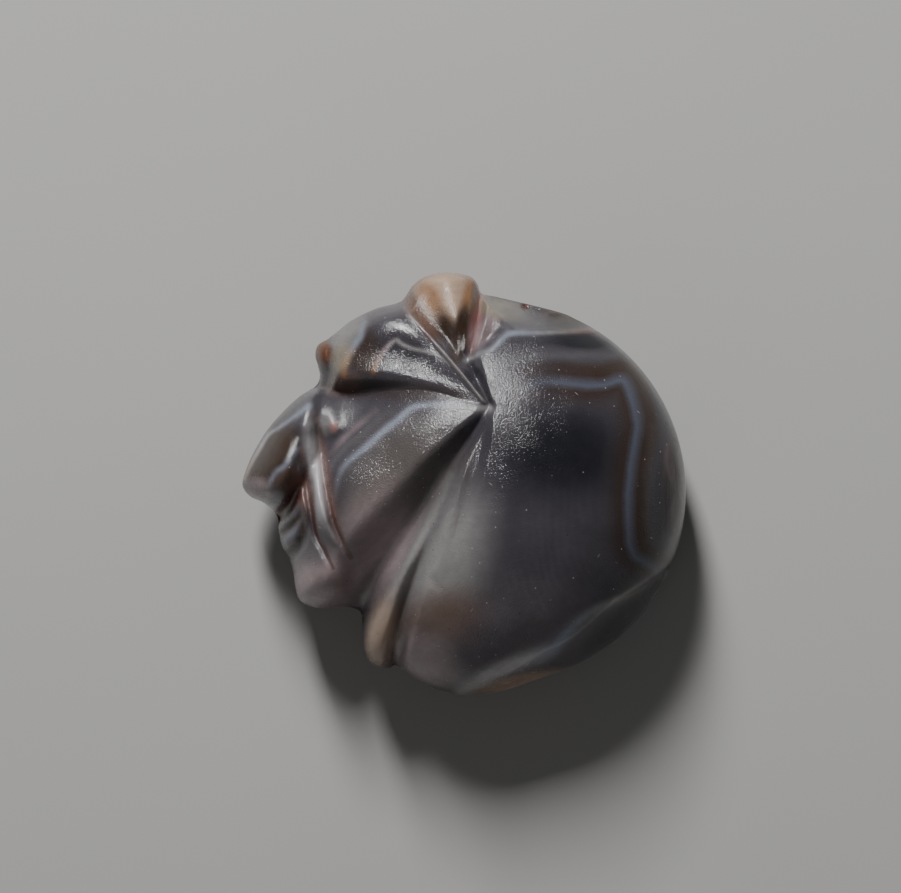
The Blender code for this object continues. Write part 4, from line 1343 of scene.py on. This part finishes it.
@dataclass(frozen=True)
class LionHeadSeal:
    """The carved stone: a fan of rings up over the relief, round the edge and under to the seal face."""

    relief: HeadRelief = HeadRelief()
    pattern: StonePattern = StonePattern()
    finish: AgateFinish = AgateFinish()
    sectors: tuple[Pair, ...] = ((58.0, 0.6), (176.0, 0.42), (232.0, 0.6), (256.0, 0.95))
    relief_rings: int = 120
    fold_ring: int = 64
    lip_ring: int = 77
    lip_gap: float = 0.06
    muzzle_sector: Pair = (165.0, 245.0)
    under_rings: int = 22
    under_sweep: float = 72.0
    corner: float = 0.06
    rim_rings: int = 4
    rim_width: float = 0.8
    seal_rings: int = 8
    back_share: float = 0.351
    seal_radius: float = 37.08

    def bearings(self) -> Array:
        """Bearings of the columns, evenly spaced in each sector.

        Returns:
            Bearings in degrees, rising.
        """
        starts = [start for start, _ in self.sectors]
        ends = starts[1:] + [starts[0] + 360]
        parts = [np.linspace(start, end, round((end - start) / step), endpoint=False)
                 for (start, step), end in zip(self.sectors, ends)]
        return np.concatenate(parts)

    def guide(self, bearing: Array, line: Path, plain: float) -> Array:
        """Share of the edge radius that follows a muzzle line, and a plain share away from it.

        Args:
            bearing: the columns' bearings.
            line: the line on the plan.
            plain: the share away from the muzzle.

        Returns:
            A share for each column.
        """
        x, y = np.array(line).T
        on_line, radius = self.relief.plan.polar(x, y)
        share = radius / self.relief.plan.edge(on_line)
        start, end = self.muzzle_sector
        nodes = np.concatenate([[start], on_line, [end]])
        values = np.concatenate([[plain], share, [plain]])
        return hermite(np.clip(bearing, start, end), nodes, values, flat_ends=True)

    def shares(self, bearing: Array) -> Array:
        """Each ring's share of the edge radius: sin of an even angle, bent so two rings follow the lines.

        Args:
            bearing: the columns' bearings.

        Returns:
            One row for each ring from the first out to the edge.
        """
        plain = np.sin(np.pi / 2 * np.arange(self.relief_rings + 1) / self.relief_rings)
        fold = self.guide(bearing, FOLD_LINE, plain[self.fold_ring])
        lip = np.maximum(self.guide(bearing, LIP_LINE, plain[self.lip_ring]), fold + self.lip_gap)
        guides = {0: 0 * fold, self.fold_ring: fold, self.lip_ring: lip, self.relief_rings: 1 + 0 * fold}
        rings = list(guides)
        rows = [guides[a] + (guides[b] - guides[a]) * (plain[k] - plain[a]) / (plain[b] - plain[a])
                for a, b in zip(rings[:-1], rings[1:]) for k in range(a + 1, b + 1)]
        return np.array(rows)

    def rings(self) -> Array:
        """Points of all rings in hundredths, with heights as shares of the whole height.

        Over the relief a point is the meeting point + share * edge radius, at the relief's height. Under
        the edge the plan runs to the seal's rim by 1 - cos and the height falls by sin, a part of a quarter
        round; the rim is rounded by a parabola, and the face's rings shrink evenly to its middle.

        Returns:
            An array of ring, column and coordinate.
        """
        plan, bearing = self.relief.plan, self.bearings()
        turn = np.radians(bearing)
        radius = plan.edge(bearing) * self.shares(bearing)
        x = plan.meeting_point[0] + radius * np.cos(turn)
        y = plan.meeting_point[1] + radius * np.sin(turn)
        height = self.relief.height(x.ravel(), y.ravel()).reshape(x.shape)
        height[-1] = 0
        top = np.stack([x, y, self.back_share + (1 - self.back_share) * height], -1)
        edge, centre = top[-1], np.array(plan.mane_centre)
        inward = centre - edge[:, :2]
        rim = centre - inward / np.hypot(*inward.T)[:, None] * self.seal_radius
        sweep = np.radians(self.under_sweep)
        at = np.linspace(0, 1 - self.corner, self.under_rings + 1)[1:, None]
        fall = (1 - np.cos(sweep * at)) / (1 - np.cos(sweep))
        under_plan = edge[None, :, :2] + (rim - edge[:, :2])[None] * fall[:, :, None]
        under_height = self.back_share * (1 - np.sin(sweep * at) / np.sin(sweep)) * np.ones((1, len(edge)))
        under = np.concatenate([under_plan, under_height[:, :, None]], -1)
        face_edge = rim + (centre - rim) * self.rim_width / self.seal_radius
        face_rim = np.column_stack([face_edge, np.zeros(len(rim))])
        t = np.linspace(0, 1, self.rim_rings + 1)[1:, None, None]
        start, bend = under[-1][None], np.column_stack([rim, np.zeros(len(rim))])[None]
        rounded = (1 - t) ** 2 * start + 2 * t * (1 - t) * bend + t**2 * face_rim[None]
        shrink = (1 - np.arange(1, self.seal_rings) / self.seal_rings)[:, None, None]
        middle = np.array([*plan.mane_centre, 0.0])
        face = middle + (face_rim[None] - middle) * shrink
        return np.concatenate([top, under, rounded, face])

    def mesh(self) -> bpy.types.Mesh:
        """Join the rings with four-sided cells, and close both poles with fans.

        Returns:
            The closed mesh in metres, with the pattern's attributes.
        """
        lowest, highest = (np.array(corner) for corner in CAD_BOX)
        rings = self.rings()
        edge = rings[self.relief_rings - 1][:, :2]
        middle = (edge.min(axis=0) + edge.max(axis=0)) / 2
        unit = (highest[0] - lowest[0]) / (edge[:, 0].max() - edge[:, 0].min())
        tall = highest[2] - lowest[2]
        plan = self.relief.plan
        apex_height = self.relief.height(*(np.array([v]) for v in plan.meeting_point))[0]
        apex = np.array([[*plan.meeting_point, self.back_share + (1 - self.back_share) * apex_height]])
        pole = np.array([[*plan.mane_centre, 0.0]])
        drawn = np.concatenate([apex, rings.reshape(-1, 3), pole])
        box_middle = (lowest + highest)[:2] / 2
        points = (drawn - [*middle, 0]) * [unit, unit, tall] + [*box_middle, lowest[2]]

        count, total = rings.shape[1], rings.shape[0]
        here = 1 + np.arange(total * count).reshape(total, count)
        after = np.roll(here, -1, axis=1)
        cells = np.stack([here[:-1], here[1:], after[1:], after[:-1]], -1).reshape(-1, 4)
        first = np.column_stack([np.zeros(count, int), here[0], after[0]])
        last = np.column_stack([here[-1], np.full(count, len(points) - 1), after[-1]])
        mesh = bpy.data.meshes.new("carved_head")
        mesh.from_pydata(points.tolist(), [], cells.tolist() + first.tolist() + last.tolist())
        mesh.validate()
        mesh.shade_smooth()
        self.paint(mesh, (points - [*box_middle, 0]) + [*(middle * unit), 0], unit, tall)
        return mesh

    def paint(self, mesh: bpy.types.Mesh, points: Array, unit: float, tall: float) -> None:
        """Write the pattern's attributes at the mesh's points.

        Args:
            mesh: the mesh.
            points: its points in metres from the plan's origin.
            unit: metres in a hundredth of the length.
            tall: the stone's whole height in metres.
        """
        x, y = self.pattern.inside(points, unit, self.back_share * tall)
        signed, share = to_path(x, y, self.pattern.contour)
        vein, vein_colour = self.pattern.nearest(x, y, self.pattern.veins)
        stain, stain_colour = self.pattern.nearest(x, y, self.pattern.stains)
        numbers = {"contour": signed, "contour_show": spread(share, self.pattern.contour_strength),
                   "vein": vein, "stain": stain, "wear": self.pattern.wear(x, y)}
        colours = {"ground": self.pattern.ground_colour(x, y), "vein_colour": vein_colour,
                   "stain_colour": stain_colour}
        for name, values in numbers.items():
            mesh.attributes.new(name, "FLOAT", "POINT").data.foreach_set("value", values.astype(np.float32))
        for name, values in colours.items():
            layer = mesh.attributes.new(name, "FLOAT_COLOR", "POINT")
            layer.data.foreach_set("color", values.astype(np.float32).ravel())

    def build(self) -> bpy.types.Object:
        """Put the finished stone in place of the plain solid.

        Returns:
            The piece.
        """
        piece = bpy.data.objects.new("carved_head", self.mesh())
        piece.data.materials.append(self.finish.material())
        bpy.context.scene.collection.objects.link(piece)
        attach(piece, "root")
        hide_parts("lion_head_seal")
        return piece


@dataclass(frozen=True)
class Panel:
    """A soft light panel turned to face the stone.

    Its tilt is in degrees from straight above and its turn in degrees round from the ear's side towards
    the nose; its distance from the stone, width and height are in metres, and its power is in watts.
    """

    name: str
    tilt: float
    turn: float
    distance: float
    size: Pair
    power: float

    def build(self) -> bpy.types.Object:
        """Add the light.

        Returns:
            The light.
        """
        lamp = bpy.data.lights.new(self.name, "AREA")
        lamp.shape, lamp.size, lamp.size_y = "RECTANGLE", *self.size
        lamp.energy = self.power
        light = bpy.data.objects.new(self.name, lamp)
        tilt, turn = np.radians(self.tilt), np.radians(self.turn)
        towards = Vector((-np.sin(tilt) * np.sin(turn), np.sin(tilt) * np.cos(turn), np.cos(tilt)))
        light.location = towards * self.distance
        light.rotation_euler = (-tilt, 0.0, turn)
        bpy.context.scene.collection.objects.link(light)
        return light


@dataclass(frozen=True)
class Studio:
    """Pale floor, a tall soft light beyond the ear, a weak broad one by the jaw, even fill, and camera."""

    floor_half: float = 1.2
    floor_lines: int = 9
    floor_gap: float = 0.00001
    floor_colour: Colour = (0.43, 0.425, 0.415)
    floor_roughness: float = 0.7
    floor_mottle: Texture = Texture(0.02, 3.0)
    floor_shade: float = 0.06
    panels: tuple[Panel, ...] = (
        Panel("soft_panel", 49.0, 14.0, 0.30, (0.05, 0.11), 1.22),
        Panel("return_panel", 62.0, 155.0, 0.6, (0.5, 0.5), 0.31),
    )
    fill: float = 0.07
    lens: float = 200.0
    sensor_width: float = 36.0
    clip: Pair = (0.001, 10.0)
    camera_place: tuple[float, float, float] = (-0.000733, 0.002036, 0.2758)

    def floor(self) -> bpy.types.Object:
        """Add the floor, a level square grid just under the seal face.

        Returns:
            The floor.
        """
        steps = np.linspace(-self.floor_half, self.floor_half, self.floor_lines)
        x, y = np.meshgrid(steps, steps, indexing="ij")
        points = np.column_stack([x.ravel(), y.ravel(), np.full(x.size, -self.floor_gap)])
        here = np.arange(x.size).reshape(x.shape)
        cells = np.stack([here[:-1, :-1], here[1:, :-1], here[1:, 1:], here[:-1, 1:]], -1).reshape(-1, 4)
        mesh = bpy.data.meshes.new("floor")
        mesh.from_pydata(points.tolist(), [], cells.tolist())
        graph = Graph("pale_floor")
        tone = 1.0 + self.floor_shade * graph.noise(self.floor_mottle)
        graph.feed(graph.shader.inputs["Base Color"], graph.scaled(self.floor_colour, tone))
        graph.feed(graph.shader.inputs["Roughness"], self.floor_roughness)
        mesh.materials.append(graph.material)
        floor = bpy.data.objects.new("floor", mesh)
        bpy.context.scene.collection.objects.link(floor)
        return floor

    def surroundings(self) -> None:
        """Give the world an even pale grey."""
        world = bpy.data.worlds.new("fill")
        world.use_nodes = True
        background = world.node_tree.nodes["Background"]
        background.inputs["Color"].default_value = (1.0, 1.0, 1.0, 1.0)
        background.inputs["Strength"].default_value = self.fill
        bpy.context.scene.world = world

    def camera(self) -> bpy.types.Object:
        """Add the camera, looking straight down with +Y up in the picture.

        Returns:
            The camera.
        """
        data = bpy.data.cameras.new("camera")
        data.lens, data.sensor_width = self.lens, self.sensor_width
        data.clip_start, data.clip_end = self.clip
        camera = bpy.data.objects.new("camera", data)
        camera.location = Vector(self.camera_place)
        bpy.context.scene.collection.objects.link(camera)
        bpy.context.scene.camera = camera
        return camera

    def build(self) -> None:
        """Add everything round the stone."""
        self.floor()
        for panel in self.panels:
            panel.build()
        self.surroundings()
        self.camera()


def main() -> None:
    """Build the stone and the studio, and report each piece."""
    logging.basicConfig(level=logging.INFO, format="%(message)s")
    stone = LionHeadSeal().build()
    LOG.info("%s: %d points, %d faces", stone.name, len(stone.data.vertices), len(stone.data.polygons))
    Studio().build()
    LOG.info("studio: floor, light, fill and camera")


if __name__ == "__main__":
    main()
